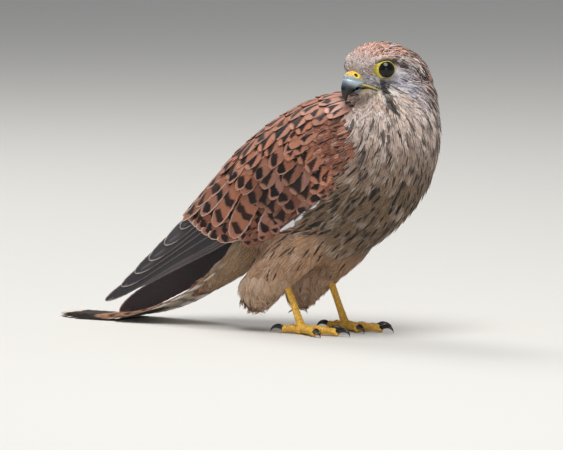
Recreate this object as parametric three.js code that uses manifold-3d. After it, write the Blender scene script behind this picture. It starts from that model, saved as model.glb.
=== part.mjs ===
// A young common kestrel, life size, standing on its feet and tail with its head turned back over its right shoulder.
// Millimetres, +Z up. The bird faces -Y, its left side is +X, and it stands on the plane z = 0.
import * as THREE from "three";
import Module from "manifold-3d";

const wasm = await Module();
wasm.setup();
const { Manifold, Mesh: SolidMesh } = wasm;

// Driving sizes
const GAP = 0.3; // between pieces that touch
const TAPER_GAP = 0.45; // the same beside the tapering pieces of the bill
const HEAD_AT = [-1, -43.4, 163.2];
const HEAD_YAW = 165; // degrees from +X to where the bill points
const EYE = { forward: 8, side: 15.2, up: 3.1, radius: 6.2, opening: 5, facing: 28 };
const NECK_CUT = { y: -50, z: 133, lean: 18 };
const RUMP_CUT = { y: 45, z: 59, lean: -68 };
const LEFT_WING_DROOP = 7; // how much lower the left wing tip hangs
const TAIL = { y: 47, z: 59.5, slope: 52, length: 168, half: 10.5, layer: 0.5, thick: 0.7, lift: 2.3 };
const TARSUS = { top: 36, lean: 13.6 }; // height of its upper end and how far behind the foot that lies
const FOOT = { right: [-18, 3], left: [18, -5], padRadius: 4.3 };
const CLAW_LENGTH = 9.5;

const COLOURS = {
  rufous: 0xb5704a,
  slate: 0x3b383c,
  buff: 0xc9ad8c,
  pale: 0xd9cbb6,
  yellow: 0xdca223,
  horn: 0x2b2d33,
  eye: 0x120d0a,
};

const radians = THREE.MathUtils.degToRad;
const { lerp, clamp } = THREE.MathUtils;

// A smooth curve through rows of [place, value, value, ...]. It returns the values at any place.
function through(rows) {
  const slope = (i, k) => {
    const before = rows[Math.max(i - 1, 0)];
    const after = rows[Math.min(i + 1, rows.length - 1)];
    return (after[k] - before[k]) / (after[0] - before[0]);
  };
  return (place) => {
    let i = 0;
    while (i < rows.length - 2 && place > rows[i + 1][0]) i++;
    const step = rows[i + 1][0] - rows[i][0];
    const s = clamp((place - rows[i][0]) / step, 0, 1);
    return rows[i].slice(1).map((value, n) => {
      const k = n + 1;
      const rise = rows[i + 1][k] - value;
      const start = slope(i, k) * step;
      const end = slope(i + 1, k) * step;
      return value + s * start + s * s * (3 * rise - 2 * start - end) + s * s * s * (start + end - 2 * rise);
    });
  };
}

const spread = (count, from, to) => Array.from({ length: count }, (_, i) => lerp(from, to, i / (count - 1)));

// A manifold solid from points and triangles, with its faces turned outwards.
function solidOf(points, triangles) {
  const made = (faces) =>
    new Manifold(
      new SolidMesh({ numProp: 3, vertProperties: new Float32Array(points.flat()), triVerts: new Uint32Array(faces) }),
    );
  const solid = made(triangles.flat());
  return solid.volume() > 0 ? solid : made(triangles.map(([a, b, c]) => [a, c, b]).flat());
}

const middleOf = (ring) => [0, 1, 2].map((k) => ring.reduce((sum, p) => sum + p[k], 0) / ring.length);

// A closed tube through rings of equally many points. Each end closes on its middle, and moves out when the tube grows.
function tube(rings, grow = 0) {
  const n = rings[0].length;
  const pushed = (ring, next) => {
    const away = new THREE.Vector3(...middleOf(ring)).sub(new THREE.Vector3(...middleOf(next))).setLength(grow).toArray();
    return ring.map((p) => p.map((value, k) => value + away[k]));
  };
  if (grow) rings = [pushed(rings[0], rings[1]), ...rings.slice(1, -1), pushed(rings[rings.length - 1], rings[rings.length - 2])];
  const points = rings.flat();
  const triangles = [];
  for (let i = 0; i < rings.length - 1; i++)
    for (let j = 0; j < n; j++) {
      const a = i * n + j;
      const b = i * n + ((j + 1) % n);
      triangles.push([a, b, b + n], [a, b + n, a + n]);
    }
  for (const end of [0, rings.length - 1]) {
    points.push(middleOf(rings[end]));
    for (let j = 0; j < n; j++) {
      const [a, b] = [end * n + j, end * n + ((j + 1) % n)];
      triangles.push(end ? [a, b, points.length - 1] : [b, a, points.length - 1]);
    }
  }
  return solidOf(points, triangles);
}

// A closed thin blade on a grid of places: point(t, across, out) with t from 0 to 1 and across from -1 to 1.
// Its two faces share their diagonals, so that they never cross.
function blade(point, steps, across, thick) {
  const rows = across.length;
  const points = [];
  for (let i = 0; i <= steps; i++) for (const side of across) for (const out of [thick, 0]) points.push(point(i / steps, side, out));
  const at = (i, j, under) => (i * rows + j) * 2 + under;
  const triangles = [];
  for (let i = 0; i < steps; i++) {
    for (let j = 0; j < rows - 1; j++)
      for (const under of [0, 1]) {
        const quad = [at(i, j, under), at(i + 1, j, under), at(i + 1, j + 1, under), at(i, j + 1, under)];
        const faces = [
          [quad[0], quad[1], quad[2]],
          [quad[0], quad[2], quad[3]],
        ];
        triangles.push(...(under ? faces.map(([a, b, c]) => [a, c, b]) : faces));
      }
    for (const j of [0, rows - 1]) {
      const quad = [at(i, j, 0), at(i, j, 1), at(i + 1, j, 1), at(i + 1, j, 0)];
      if (j) quad.reverse();
      triangles.push([quad[0], quad[1], quad[2]], [quad[0], quad[2], quad[3]]);
    }
  }
  for (const i of [0, steps])
    for (let j = 0; j < rows - 1; j++) {
      const quad = [at(i, j, 0), at(i, j + 1, 0), at(i, j + 1, 1), at(i, j, 1)];
      if (i) quad.reverse();
      triangles.push([quad[0], quad[1], quad[2]], [quad[0], quad[2], quad[3]]);
    }
  return solidOf(points, triangles);
}

const join = (solids) => Manifold.union(solids);
const cut = (solid, ...cutters) => cutters.reduce((left, cutter) => left.subtract(cutter), solid);
const largest = (solid) => solid.decompose().sort((a, b) => b.volume() - a.volume())[0];

// The trunk and neck: rows of place, y and z of the spine, half width, reach to the back, reach to the breast, and how
// far the turned head draws the neck to the left.
const TRUNK = through([
  [0, -51, 156, 23, 19, 23, 8],
  [1, -52, 141, 26.5, 25, 29, 4],
  [2, -51, 123, 31, 34, 33, 0],
  [3, -41, 105, 34, 43, 35, 0],
  [4, -24, 90, 34.5, 50, 36.5, 0],
  [5, -4, 78, 33, 46, 36, 0],
  [6, 16, 68, 28, 36, 31, 0],
  [7, 34, 62, 20, 24, 22, 0],
  [8, 49, 58, 13.5, 13, 11, 0],
  [9, 60, 53, 8, 6, 6, 0],
]);
const TRUNK_END = 9;

function spineFrame(spine, place) {
  const step = 0.05;
  const [before, after] = [spine(place - step), spine(place + step)];
  const along = new THREE.Vector2(after[0] - before[0], after[1] - before[1]).normalize();
  return { at: spine(place), along, back: new THREE.Vector2(-along.y, along.x) };
}

// A ring round a spine in the plane x = 0. Its back half and its breast half have reaches of their own.
function spineRing(spine, place, sides, grow) {
  const { at, back } = spineFrame(spine, place);
  const [y, z, width, toBack, toBreast, left = 0] = at;
  return spread(sides + 1, 0, 2 * Math.PI)
    .slice(0, sides)
    .map((angle) => {
      const reach = (Math.sin(angle) > 0 ? toBack : toBreast) + grow;
      const up = Math.sin(angle) * reach;
      return [left - Math.cos(angle) * (width + grow), y + back.x * up, z + back.y * up];
    });
}

const trunk = (grow = 0) => tube(spread(16, 0, TRUNK_END).map((place) => spineRing(TRUNK, place, 22, grow)), grow);

// A big box on the far side of a plane that leans about X, used to part a solid with a thin cut.
function halfSpace({ y, z, lean }, side, shift) {
  const size = 400;
  const box = new THREE.BoxGeometry(size, size, size);
  const normal = new THREE.Vector3(0, Math.sin(radians(lean)), Math.cos(radians(lean)));
  box.rotateX(-radians(lean));
  const middle = normal.clone().multiplyScalar(side * (size / 2 + shift));
  box.translate(middle.x, y + middle.y, z + middle.z);
  return fromGeometry(box);
}

function fromGeometry(geometry) {
  const found = new Map();
  const points = [];
  const position = geometry.getAttribute("position");
  const index = geometry.index ? [...geometry.index.array] : [...Array(position.count).keys()];
  const merged = index.map((i) => {
    const point = [position.getX(i), position.getY(i), position.getZ(i)];
    const key = point.map((value) => value.toFixed(4)).join();
    if (!found.has(key)) found.set(key, points.push(point) - 1);
    return found.get(key);
  });
  const triangles = [];
  for (let i = 0; i < merged.length; i += 3) {
    const [a, b, c] = merged.slice(i, i + 3);
    if (a !== b && b !== c && a !== c) triangles.push([a, b, c]);
  }
  return solidOf(points, triangles);
}

// The head, in its own frame: x forward, y to the bird's left, z up. Rows of place, height of the middle, half width,
// reach up, reach down and how much the lower half is pinched in beside the bill.
const HEAD = through([
  [-35, -9, 7, 5, 6, 0],
  [-32, -8, 13, 9, 10.5, 0],
  [-27, -5, 17.5, 13, 13, 0],
  [-19, -2, 20.3, 16.6, 15.5, 0],
  [-9, 0, 21.5, 18.7, 17.5, 0],
  [2, 0, 20.8, 19.6, 18, 0],
  [9, 1, 18.6, 17.8, 18, 0.1],
  [14.5, 2, 15.6, 13.6, 16, 0.4],
  [18.5, 2, 12.2, 9, 13, 0.6],
  [21.5, 1, 8.4, 5.4, 9.4, 0.6],
  [23.2, 0, 4.4, 2.4, 6, 0.5],
]);
const HEAD_ENDS = [-35, 23.2];

function ellipseRing(middle, right, up, width, above, below, sides) {
  return spread(sides + 1, 0, 2 * Math.PI)
    .slice(0, sides)
    .map((angle) => {
      const rise = Math.sin(angle) * (Math.sin(angle) > 0 ? above : below);
      return middle.map((value, k) => value + right[k] * Math.cos(angle) * width + up[k] * rise);
    });
}

function headShape(grow) {
  const rings = spread(13, ...HEAD_ENDS).map((forward) => {
    const [height, width, above, below, pinch] = HEAD(forward);
    return spread(19, 0, 2 * Math.PI)
      .slice(0, 18)
      .map((angle) => {
        const rise = Math.sin(angle);
        const narrowed = rise < 0 ? 1 - pinch * rise * rise : 1;
        const reach = (rise > 0 ? above : below) + grow;
        return [forward, Math.cos(angle) * (width * narrowed + grow), height + rise * reach];
      });
  });
  return tube(rings, grow);
}

// A tapering horn or claw along a path in the plane y = 0: rows of place, x, z, half width and half height.
function horn(rows, count, sides, grow) {
  const path = through(rows);
  const last = rows[rows.length - 1][0];
  return tube(
    spread(count, 0, last).map((place) => {
      const { at, along } = spineFrame(path, place);
      const up = [-along.y, 0, along.x];
      return ellipseRing([at[0], 0, at[1]], [0, 1, 0], up, at[2] + grow, at[3] + grow, at[3] + grow, sides);
    }),
    grow,
  );
}

const CERE_ROWS = [
  [0, 16.5, -2.6, 7.4, 5.2],
  [1, 20, -2.3, 6.4, 5],
  [2, 23.6, -2.2, 4.9, 4.3],
  [3, 26, -2.7, 3, 2.9],
  [4, 27.2, -3.3, 1, 1],
];
const UPPER_BILL_ROWS = [
  [0, 15, -4.4, 7, 4],
  [1, 19.5, -5.2, 6, 4.9],
  [2, 23.6, -5.8, 5, 5],
  [3, 26.2, -8.4, 3.8, 3.9],
  [4, 27.3, -11.4, 2.5, 2.7],
  [5, 27.3, -14.4, 1.3, 1.5],
  [6, 26.8, -17, 0.25, 0.25],
];
const LOWER_BILL_ROWS = [
  [0, 10, -9.6, 7.6, 2.2],
  [1, 15, -10, 6.6, 2.4],
  [2, 20, -10.7, 4.6, 2],
  [3, 24, -11.6, 2.4, 1],
];

const cereShape = (grow) => horn(CERE_ROWS, 6, 12, grow);
const upperBillShape = (grow) => horn(UPPER_BILL_ROWS, 9, 12, grow);
const lowerBillShape = (grow) => horn(LOWER_BILL_ROWS, 5, 10, grow);

function eyeShape(side, grow) {
  const ball = new THREE.SphereGeometry(EYE.radius + grow, 12, 8);
  ball.translate(EYE.forward, side * EYE.side, EYE.up);
  return fromGeometry(ball);
}

// The bare ring round the eye, and the brow that shades it.
function eyeRing(side) {
  const ring = new THREE.TorusGeometry(EYE.opening + 0.9, 1.3, 4, 12);
  ring.rotateX(Math.PI / 2);
  ring.rotateZ(-side * radians(EYE.facing));
  const out = Math.sqrt(EYE.radius ** 2 - EYE.opening ** 2);
  const turn = radians(EYE.facing);
  ring.translate(EYE.forward + Math.sin(turn) * out, side * (EYE.side + Math.cos(turn) * out), EYE.up);
  return fromGeometry(ring);
}

function brow(side) {
  const path = through([
    [0, 19, 8.2, 5.2, 1.2],
    [1, 14.5, 13, 8.6, 2.4],
    [2, 8, 16.6, 10.2, 3],
    [3, 1, 18, 10, 2.6],
    [4, -6, 18.6, 8.5, 1],
  ]);
  return tube(
    spread(6, 0, 4).map((place) => {
      const [x, y, z, radius] = path(place);
      return ellipseRing([x, side * y, z], [0, side, 0], [0, 0, 1], radius, radius * 0.7, radius * 0.7, 6);
    }),
  );
}

function nostril(side) {
  const hole = new THREE.CylinderGeometry(1.15, 1.15, 5, 10);
  hole.translate(22.1, side * 6.6, -0.6);
  return fromGeometry(hole);
}

// The folded wing lies on a shell. Rows: place along the body (y), then the middle, half width and half height of an
// upright slice, and the angles of its lower and upper edges. Angle 0 faces outwards and 90 faces up.
const SHELL = through([
  [-56, 0, 119, 24, 17, -20, 70],
  [-50, 0, 118, 30, 25, -28, 78],
  [-38, 0, 114, 35, 36, -42, 88],
  [-20, 0, 108, 37.5, 42, -46, 91],
  [0, 0, 101, 38, 45, -48, 91],
  [20, 0, 94, 36, 43, -50, 91],
  [38, -0.5, 86, 33, 40, -51, 91],
  [63, -1, 72, 28, 34, -52, 90],
  [83, -2.5, 60, 23, 26, -56, 86],
  [98, -5, 50, 18, 20, -60, 80],
  [115, -7, 39.5, 13.5, 14.5, -60, 70],
  [130, -8, 31, 10, 11, -60, 65],
  [146, -8, 21.5, 8, 9, -60, 60],
  [164, -8, 12, 6.5, 8, -60, 60],
]);
const CORE = { inner: 12, rearInner: 6 };

// A wing's places: surface(y, angle) lies on the shell, and point(y, angle, across, out) goes across it and off it.
function wingOn(side) {
  const droop = side > 0 ? LEFT_WING_DROOP : 0;
  const surface = (y, angle) => {
    const [x, z, width, height] = SHELL(y);
    const sag = droop * Math.max((y - 20) / 140, 0) ** 2;
    const turn = radians(angle);
    return new THREE.Vector3(side * (Math.cos(turn) * width - x), y, z - sag + Math.sin(turn) * height);
  };
  const step = 0.02;
  const frame = (y, angle) => {
    const at = surface(y, angle);
    const alongY = surface(y + step, angle).sub(at).divideScalar(step);
    const alongAngle = surface(y, angle + step).sub(at).divideScalar(step);
    const out = new THREE.Vector3().crossVectors(alongY, alongAngle).normalize().multiplyScalar(side);
    return { at, alongY, alongAngle, out };
  };
  const point = (y, angle, across, out) => {
    const { alongY, alongAngle } = frame(y, angle);
    const skew = alongY.dot(alongAngle) / alongY.lengthSq();
    const perDegree = Math.sqrt(alongAngle.lengthSq() - skew * skew * alongY.lengthSq());
    const turn = across / perDegree;
    const there = frame(y - skew * turn, angle + turn);
    return there.at.addScaledVector(there.out, out).toArray();
  };
  return { surface, point };
}

// How wide a feather is along its length, as shares of its half width.
const VANE = through([
  [0, 0.55],
  [0.3, 0.92],
  [0.65, 1],
  [0.88, 0.72],
  [1, 0.2],
]);

// One feather on a wing: from its root to its tip, each [y, angle], rising from one layer to another.
function feather(wing, { root, tip, half, rise, thick, steps = 3, across = [-1, 1] }) {
  return blade(
    (t, side, out) =>
      wing.point(lerp(root[0], tip[0], t), lerp(root[1], tip[1], t), side * half * VANE(t)[0], lerp(rise[0], rise[1], t) + out),
    steps,
    across,
    thick,
  );
}

// Where the coverts' solid part starts and ends, for each angle round the wing.
const CORE_ENDS = through([
  [-60, -48, 14],
  [-30, -53, 24],
  [0, -56, 36],
  [40, -50, 48],
  [70, -44, 56],
  [90, -40, 58],
]);

function wingCore(wing, grow) {
  const rings = spread(9, 0, 1).map((s) => {
    const [low, high] = SHELL(lerp(CORE_ENDS(0)[0], CORE_ENDS(0)[1], s)).slice(4);
    const angles = spread(8, low, high);
    const depth = lerp(CORE.inner, CORE.rearInner, s ** 2) * Math.min(1, 0.35 + 3 * s);
    const at = (angle, out) => {
      const [front, rear] = CORE_ENDS(angle);
      return wing.point(lerp(front, rear + grow, s), angle, 0, out);
    };
    const outer = angles.map((angle) => at(angle, grow - (angle === low ? 1.4 : 0)));
    const inner = [...angles].reverse().map((angle) => at(angle, -depth - grow));
    return [...outer, ...inner];
  });
  return tube(rings, grow);
}

// Tiers of coverts and scapulars: where their tips lie, the angles they run between, how many, and their size.
const COVERT_TIERS = [
  { name: "median", tips: [-1, 18], angles: [-41, 36], count: 6, length: 21, half: 7.4, steps: 2 },
  { name: "greater", tips: [27, 54], angles: [-46, 32], count: 6, length: 29, half: 7.8 },
  { name: "front scapulars", tips: [-12, -14], angles: [50, 82], count: 3, length: 20, half: 9, steps: 2 },
  { name: "middle scapulars", tips: [12, 13], angles: [47, 83], count: 3, length: 24, half: 9.5 },
  { name: "rear scapulars", tips: [38, 40], angles: [45, 82], count: 3, length: 27, half: 9.5 },
  { name: "longest scapulars", tips: [62, 66], angles: [44, 78], count: 3, length: 29, half: 9 },
];

function coverts(wing) {
  return COVERT_TIERS.flatMap(({ tips, angles, count, length, half, steps = 3 }) =>
    spread(count, 0, 1).map((s, i) => {
      const [y, angle] = [lerp(tips[0], tips[1], s), lerp(angles[0], angles[1], s)];
      const lift = i % 2 ? 0.75 : 0.45;
      return feather(wing, { root: [y - length, angle], tip: [y, angle], half, rise: [-1.4, lift], thick: 0.6, steps });
    }),
  );
}

// Secondaries and tertials: the lower ones are short of the rear, and the tertials end it near the tail's middle.
function secondaries(wing) {
  return spread(7, 0, 1).map((s, i) =>
    feather(wing, {
      root: [lerp(2, 30, s), lerp(-44, 70, s)],
      tip: [lerp(46, 99, s ** 0.8), lerp(-38, 72, s)],
      half: lerp(8, 9.4, s),
      rise: [-4.4 + 0.22 * i, -4 + 0.34 * i],
      thick: 0.7,
      steps: 3,
    }),
  );
}

// Primaries from the innermost that shows to the outermost: tip place, tip angle and root angle.
const PRIMARIES = [
  [103, 46, 28],
  [120, 38, 16],
  [136, 31, 6],
  [149, 22, -4],
  [159, 12, -14],
  [163, 2, -28],
  [158, -16, -38],
  [146, -42, -46],
];
function primaries(wing) {
  return PRIMARIES.map(([y, tipAngle, rootAngle], i) =>
    feather(wing, {
      root: [10, rootAngle],
      tip: [y, tipAngle],
      half: 7.2,
      rise: [-5.8 - 0.38 * i, -5.4 - 0.38 * i],
      thick: 0.65,
      steps: 4,
    }),
  );
}

// The tail bends from its root's slope down to the floor and lies along it.
function tailPath(distance, above) {
  const turn = radians(TAIL.slope);
  const radius = TAIL.z / (1 - Math.cos(turn));
  const slope = Math.max(turn - Math.max(distance, 0) / radius, 0);
  const before = Math.min(distance, 0);
  const bend = radius * (Math.sin(turn) - Math.sin(slope));
  const flat = Math.max(distance - radius * turn, 0);
  const y = TAIL.y + bend + flat + before * Math.cos(turn) + above * Math.sin(slope);
  const z = TAIL.z - radius * (Math.cos(slope) - Math.cos(turn)) - before * Math.sin(turn) + above * Math.cos(slope);
  return [y, z];
}

// Tail feathers in pairs from the middle outwards: how far short of the longest each ends.
const TAIL_SHORT = { left: [0, 1, 4, 8, 13, 20], right: [0, 1, 4, 9, 15, 50] };
function tailFeathers() {
  return ["left", "right"].flatMap((name) =>
    TAIL_SHORT[name].map((short, i) => {
      const side = name === "left" ? 1 : -1;
      const length = TAIL.length - short;
      const layer = -TAIL.layer * (i + (side < 0 ? 0.5 : 0));
      return blade(
        (t, across, out) => {
          const distance = lerp(-14, length, t);
          const middle = side * (1.2 + i * lerp(0.4, 2.3, clamp(t, 0, 1)));
          const [y, z] = tailPath(distance, layer + TAIL.lift + out);
          return [middle + across * TAIL.half * VANE(t)[0], y, Math.max(z, 0)];
        },
        8,
        [-1, 1],
        TAIL.thick,
      );
    }),
  );
}

// The coverts over and under the root of the tail.
function tailCoverts(grow) {
  const size = through([
    [-16, 12, 11, 11],
    [-4, 13.5, 10.5, 12],
    [14, 13.5, 7, 12],
    [34, 12.5, 4, 9],
    [52, 10.5, 2.2, 5],
    [66, 6, 1.4, 1.8],
  ]);
  return tube(
    spread(10, -16, 66).map((distance) => {
      const [width, above, below] = size(distance);
      const [y, z] = tailPath(distance, 1.5);
      const [yUp, zUp] = tailPath(distance, 2.5);
      return ellipseRing([0, y, z], [1, 0, 0], [0, yUp - y, zUp - z], width + grow, above + grow, below + grow, 14);
    }),
    grow,
  );
}

// The feathered thigh: rows of place, x, y, z, half width and half depth, for the bird's left.
const THIGH = through([
  [0, 13, -12, 76, 11, 16],
  [1, 16.5, -1, 62, 14, 23],
  [2, 18, 12, 47, 15.2, 26],
  [3, 18.5, 24, 34, 14, 24],
  [4, 18, 31, 23, 9, 15.5],
  [5, 17.5, 34, 15.5, 3.6, 6],
]);
function thigh(side, grow) {
  return tube(
    spread(9, 0, 5).map((place) => {
      const [x, y, z, width, depth] = THIGH(place);
      const droop = Math.min(place / 4, 1) * 0.25;
      const back = [0, Math.cos(droop), -Math.sin(droop)];
      const middle = [side * x, y + footOf(side)[1] - FOOT.right[1], z];
      return ellipseRing(middle, [side, 0, 0], back, width + grow, depth + grow, depth + grow, 14);
    }),
    grow,
  );
}
const footOf = (side) => (side > 0 ? FOOT.left : FOOT.right);

// The scaled leg from above the heel's feathers down to the foot.
function tarsus(side, grow) {
  const [x, y] = footOf(side);
  const size = through([
    [0, 2.9, 3.2],
    [0.5, 2.6, 3],
    [0.85, 3, 3.3],
    [1, 3.6, 3.8],
  ]);
  return tube(
    spread(5, 0, 1).map((t) => {
      const [width, depth] = size(t);
      const middle = [x, lerp(y + TARSUS.lean, y, t), lerp(TARSUS.top, 5.2, t)];
      return ellipseRing(middle, [1, 0, 0], [0, 0.9, 0.43], width + grow, depth + grow, depth + grow, 8);
    }),
    grow,
  );
}

// Toes of a foot: heading in degrees from straight ahead towards the bird's outer side, length and thickness.
const TOES = {
  inner: { heading: -30, length: 19, radius: 2.6 },
  middle: { heading: 0, length: 28, radius: 2.7 },
  outer: { heading: 32, length: 21, radius: 2.5 },
  hind: { heading: 176, length: 14, radius: 2.7 },
};

const toePoint = (side, heading, distance, z) => {
  const [x, y] = footOf(side);
  const turn = radians(heading);
  return [x + side * Math.sin(turn) * distance, y - Math.cos(turn) * distance, z];
};

function toe(side, { heading, length, radius }, grow) {
  const across = [side * Math.cos(radians(heading)), Math.sin(radians(heading)), 0];
  return tube(
    spread(6, 0, 1).map((t, i) => {
      const pad = radius * (i % 2 ? 1.08 : 0.92) * lerp(1.05, 0.8, t) * (t === 1 ? 0.6 : 1);
      const height = Math.max(pad * 0.94, 1.6) + 1.2 * Math.sin(Math.PI * t);
      const middle = toePoint(side, heading, lerp(1, length, t), Math.min(height, pad + 0.6));
      const ring = ellipseRing(middle, across, [0, 0, 1], pad + grow, pad + grow, pad + grow, 7);
      return ring.map(([x, y, z]) => [x, y, Math.max(z, 0)]);
    }),
    grow,
  );
}

function claw(side, { heading, length }, grow) {
  const path = through([
    [0, -2, 2.7, 1.5],
    [1, 1.6, 4, 1.6],
    [2, 5, 3.9, 1.2],
    [3, 7.6, 2.4, 0.8],
    [4, CLAW_LENGTH - 1, 0.35, 0.2],
  ]);
  const across = [side * Math.cos(radians(heading)), Math.sin(radians(heading)), 0];
  return tube(
    spread(6, 0, 4).map((place) => {
      const [distance, height, radius] = path(place);
      const middle = toePoint(side, heading, length + distance, height);
      return ellipseRing(middle, across, [0, 0, 1], radius * 0.8 + grow, radius + grow, radius + grow, 5);
    }),
    grow,
  ).trimByPlane([0, 0, 1], 0);
}

const footPad = (side, grow) => {
  const [x, y] = footOf(side);
  const ball = new THREE.SphereGeometry(FOOT.padRadius + grow, 10, 6);
  ball.scale(1, 1, 0.85);
  ball.translate(x, y, 3.2);
  return fromGeometry(ball).trimByPlane([0, 0, 1], 0);
};

const material = (colour, roughness = 0.7) => new THREE.MeshStandardMaterial({ color: colour, roughness, metalness: 0 });

function meshOf(name, solid, colour, roughness) {
  const { numProp, vertProperties, triVerts } = largest(solid).simplify(0.03).getMesh();
  const points = new Float32Array((vertProperties.length / numProp) * 3);
  for (let i = 0; i < points.length / 3; i++)
    points.set(vertProperties.subarray(i * numProp, i * numProp + 3), i * 3);
  const geometry = new THREE.BufferGeometry()
    .setAttribute("position", new THREE.BufferAttribute(points, 3))
    .setIndex(new THREE.BufferAttribute(triVerts, 1));
  geometry.computeVertexNormals();
  const mesh = new THREE.Mesh(geometry, material(colour, roughness));
  mesh.name = name;
  return mesh;
}

const kestrel = new THREE.Group();
const SIDES = { right: -1, left: 1 };

// The head turns as a group of its own, so what it cuts is moved into the body's frame.
const headGroup = new THREE.Group();
headGroup.position.set(...HEAD_AT);
headGroup.rotation.z = radians(HEAD_YAW);
headGroup.updateMatrix();
const intoBody = (solid) => solid.transform(headGroup.matrix.elements);

const eyes = (grow) => Object.values(SIDES).map((side) => eyeShape(side, grow));
const bothSides = (shape) => Object.values(SIDES).map(shape);
const skull = join([headShape(0), ...bothSides(brow), ...bothSides(eyeRing)]);
const head = cut(skull, ...eyes(GAP), cereShape(TAPER_GAP), upperBillShape(TAPER_GAP), lowerBillShape(TAPER_GAP));
const cere = cut(cereShape(0), ...bothSides(nostril));
const upperBill = cut(upperBillShape(0), cereShape(TAPER_GAP));
const lowerBill = cut(lowerBillShape(0), upperBillShape(TAPER_GAP), cereShape(TAPER_GAP));
headGroup.add(
  meshOf("head", head, COLOURS.buff),
  meshOf("cere", cere, COLOURS.yellow, 0.45),
  meshOf("bill_upper", upperBill, COLOURS.horn, 0.3),
  meshOf("bill_lower", lowerBill, COLOURS.horn, 0.35),
  ...Object.entries(SIDES).map(([name, side]) => meshOf("eye_" + name, eyeShape(side, 0), COLOURS.eye, 0.05)),
);
kestrel.add(headGroup);

const headBlock = intoBody(join([headShape(GAP), cereShape(GAP), lowerBillShape(GAP)]));
const whole = trunk();
const neck = cut(whole, halfSpace(NECK_CUT, -1, -GAP / 2), headBlock);
const torso = cut(whole, halfSpace(NECK_CUT, 1, -GAP / 2), halfSpace(RUMP_CUT, -1, -GAP / 2), headBlock);
const grownTrunk = trunk(GAP);
const tailRoot = cut(tailCoverts(0), halfSpace(RUMP_CUT, 1, -GAP / 2));
const grownTailRoot = tailCoverts(GAP);
const tail = cut(join(tailFeathers()), grownTailRoot);
kestrel.add(
  meshOf("neck", neck, COLOURS.pale),
  meshOf("torso", torso, COLOURS.buff),
  meshOf("tail_coverts", tailRoot, COLOURS.pale),
  meshOf("tail", tail, COLOURS.buff),
);

for (const [name, side] of Object.entries(SIDES)) {
  const wing = wingOn(side);
  const grownCore = wingCore(wing, GAP);
  const ownSide = (solid) => solid.trimByPlane([side, 0, 0], GAP / 2);
  const arm = ownSide(cut(join([wingCore(wing, 0), ...coverts(wing)]), grownTrunk, headBlock));
  const inner = ownSide(cut(join(secondaries(wing)), grownCore, grownTrunk));
  const outer = ownSide(cut(join(primaries(wing)), grownCore, grownTrunk, grownTailRoot));
  kestrel.add(
    meshOf(`wing_${name}`, arm, COLOURS.rufous),
    meshOf(`secondaries_${name}`, inner, COLOURS.rufous),
    meshOf(`primaries_${name}`, outer, COLOURS.slate),
  );

  const leg = new THREE.Group();
  const shin = cut(tarsus(side, 0), thigh(side, GAP));
  const foot = cut(footPad(side, 0), tarsus(side, GAP));
  leg.add(
    meshOf(`thigh_${name}`, cut(thigh(side, 0), grownTrunk, grownCore, grownTailRoot), COLOURS.buff),
    meshOf(`tarsus_${name}`, shin, COLOURS.yellow, 0.5),
    meshOf(`foot_${name}`, foot, COLOURS.yellow, 0.5),
  );
  const pad = footPad(side, GAP);
  const grownMiddle = toe(side, TOES.middle, GAP);
  for (const [toeName, size] of Object.entries(TOES)) {
    const whole = cut(toe(side, size, 0), pad, tarsus(side, GAP), claw(side, size, GAP));
    const digit = toeName === "middle" ? whole : cut(whole, grownMiddle);
    leg.add(
      meshOf(`toe_${name}_${toeName}`, digit, COLOURS.yellow, 0.5),
      meshOf(`claw_${name}_${toeName}`, claw(side, size, 0), COLOURS.horn, 0.25),
    );
  }
  kestrel.add(leg);
}

// The origin is the middle of the bird's bounds, on the floor.
const bounds = new THREE.Box3().setFromObject(kestrel, true);
const middle = bounds.getCenter(new THREE.Vector3());
kestrel.position.set(-middle.x, -middle.y, -bounds.min.z);

export default kestrel;
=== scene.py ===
"""A young common kestrel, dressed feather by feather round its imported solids.
Lengths are millimetres in the working frame of the solids until a piece is made in metres."""

import itertools
import math

import bpy
import numpy as np
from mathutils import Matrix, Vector
from mathutils.bvhtree import BVHTree


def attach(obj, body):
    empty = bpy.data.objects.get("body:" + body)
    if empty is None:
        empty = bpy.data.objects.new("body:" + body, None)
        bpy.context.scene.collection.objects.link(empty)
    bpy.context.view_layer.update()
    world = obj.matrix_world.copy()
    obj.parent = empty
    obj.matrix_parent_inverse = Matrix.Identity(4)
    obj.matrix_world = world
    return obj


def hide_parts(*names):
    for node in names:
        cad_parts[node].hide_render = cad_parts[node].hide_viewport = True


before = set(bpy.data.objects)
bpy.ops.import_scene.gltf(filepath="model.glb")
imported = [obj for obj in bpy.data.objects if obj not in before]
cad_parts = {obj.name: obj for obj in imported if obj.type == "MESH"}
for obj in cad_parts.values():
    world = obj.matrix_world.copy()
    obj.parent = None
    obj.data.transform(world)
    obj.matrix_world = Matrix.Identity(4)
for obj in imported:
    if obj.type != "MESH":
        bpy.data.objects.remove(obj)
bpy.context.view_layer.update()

MM = 0.001
ORIGIN = np.array([0.0, 56.499, 0.0])  # the row frame's origin in the working frame
SIDES = {"right": -1, "left": 1}
FLOOR_GAP = 0.02  # how far above the floor the lowest points stay


# small helpers
def unit(v):
    return v / np.maximum(np.linalg.norm(v, axis=-1, keepdims=True), 1e-9)


def lerp(a, b, t):
    return a + (b - a) * t


def smooth(x, low, high):
    """0 below low, 1 above high, smooth between. It falls where low is above high."""
    t = np.clip((np.asarray(x, float) - low) / (high - low), 0, 1)
    return t * t * (3 - 2 * t)


def srgb(*rgb):
    c = np.array(rgb, float) / 255
    return np.where(c <= 0.04045, c / 12.92, ((c + 0.055) / 1.055) ** 2.4)


def blend(a, b, w):
    return a + (b - a) * np.asarray(w, float)[..., None]


def layered(rgb, *layers):
    """Colours with each layer laid over them in turn, a colour and its weight."""
    for colour, weight in layers:
        rgb = blend(rgb, colour, weight)
    return rgb


def all_over(colour, p):
    return np.tile(colour, (len(p), 1))


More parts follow.
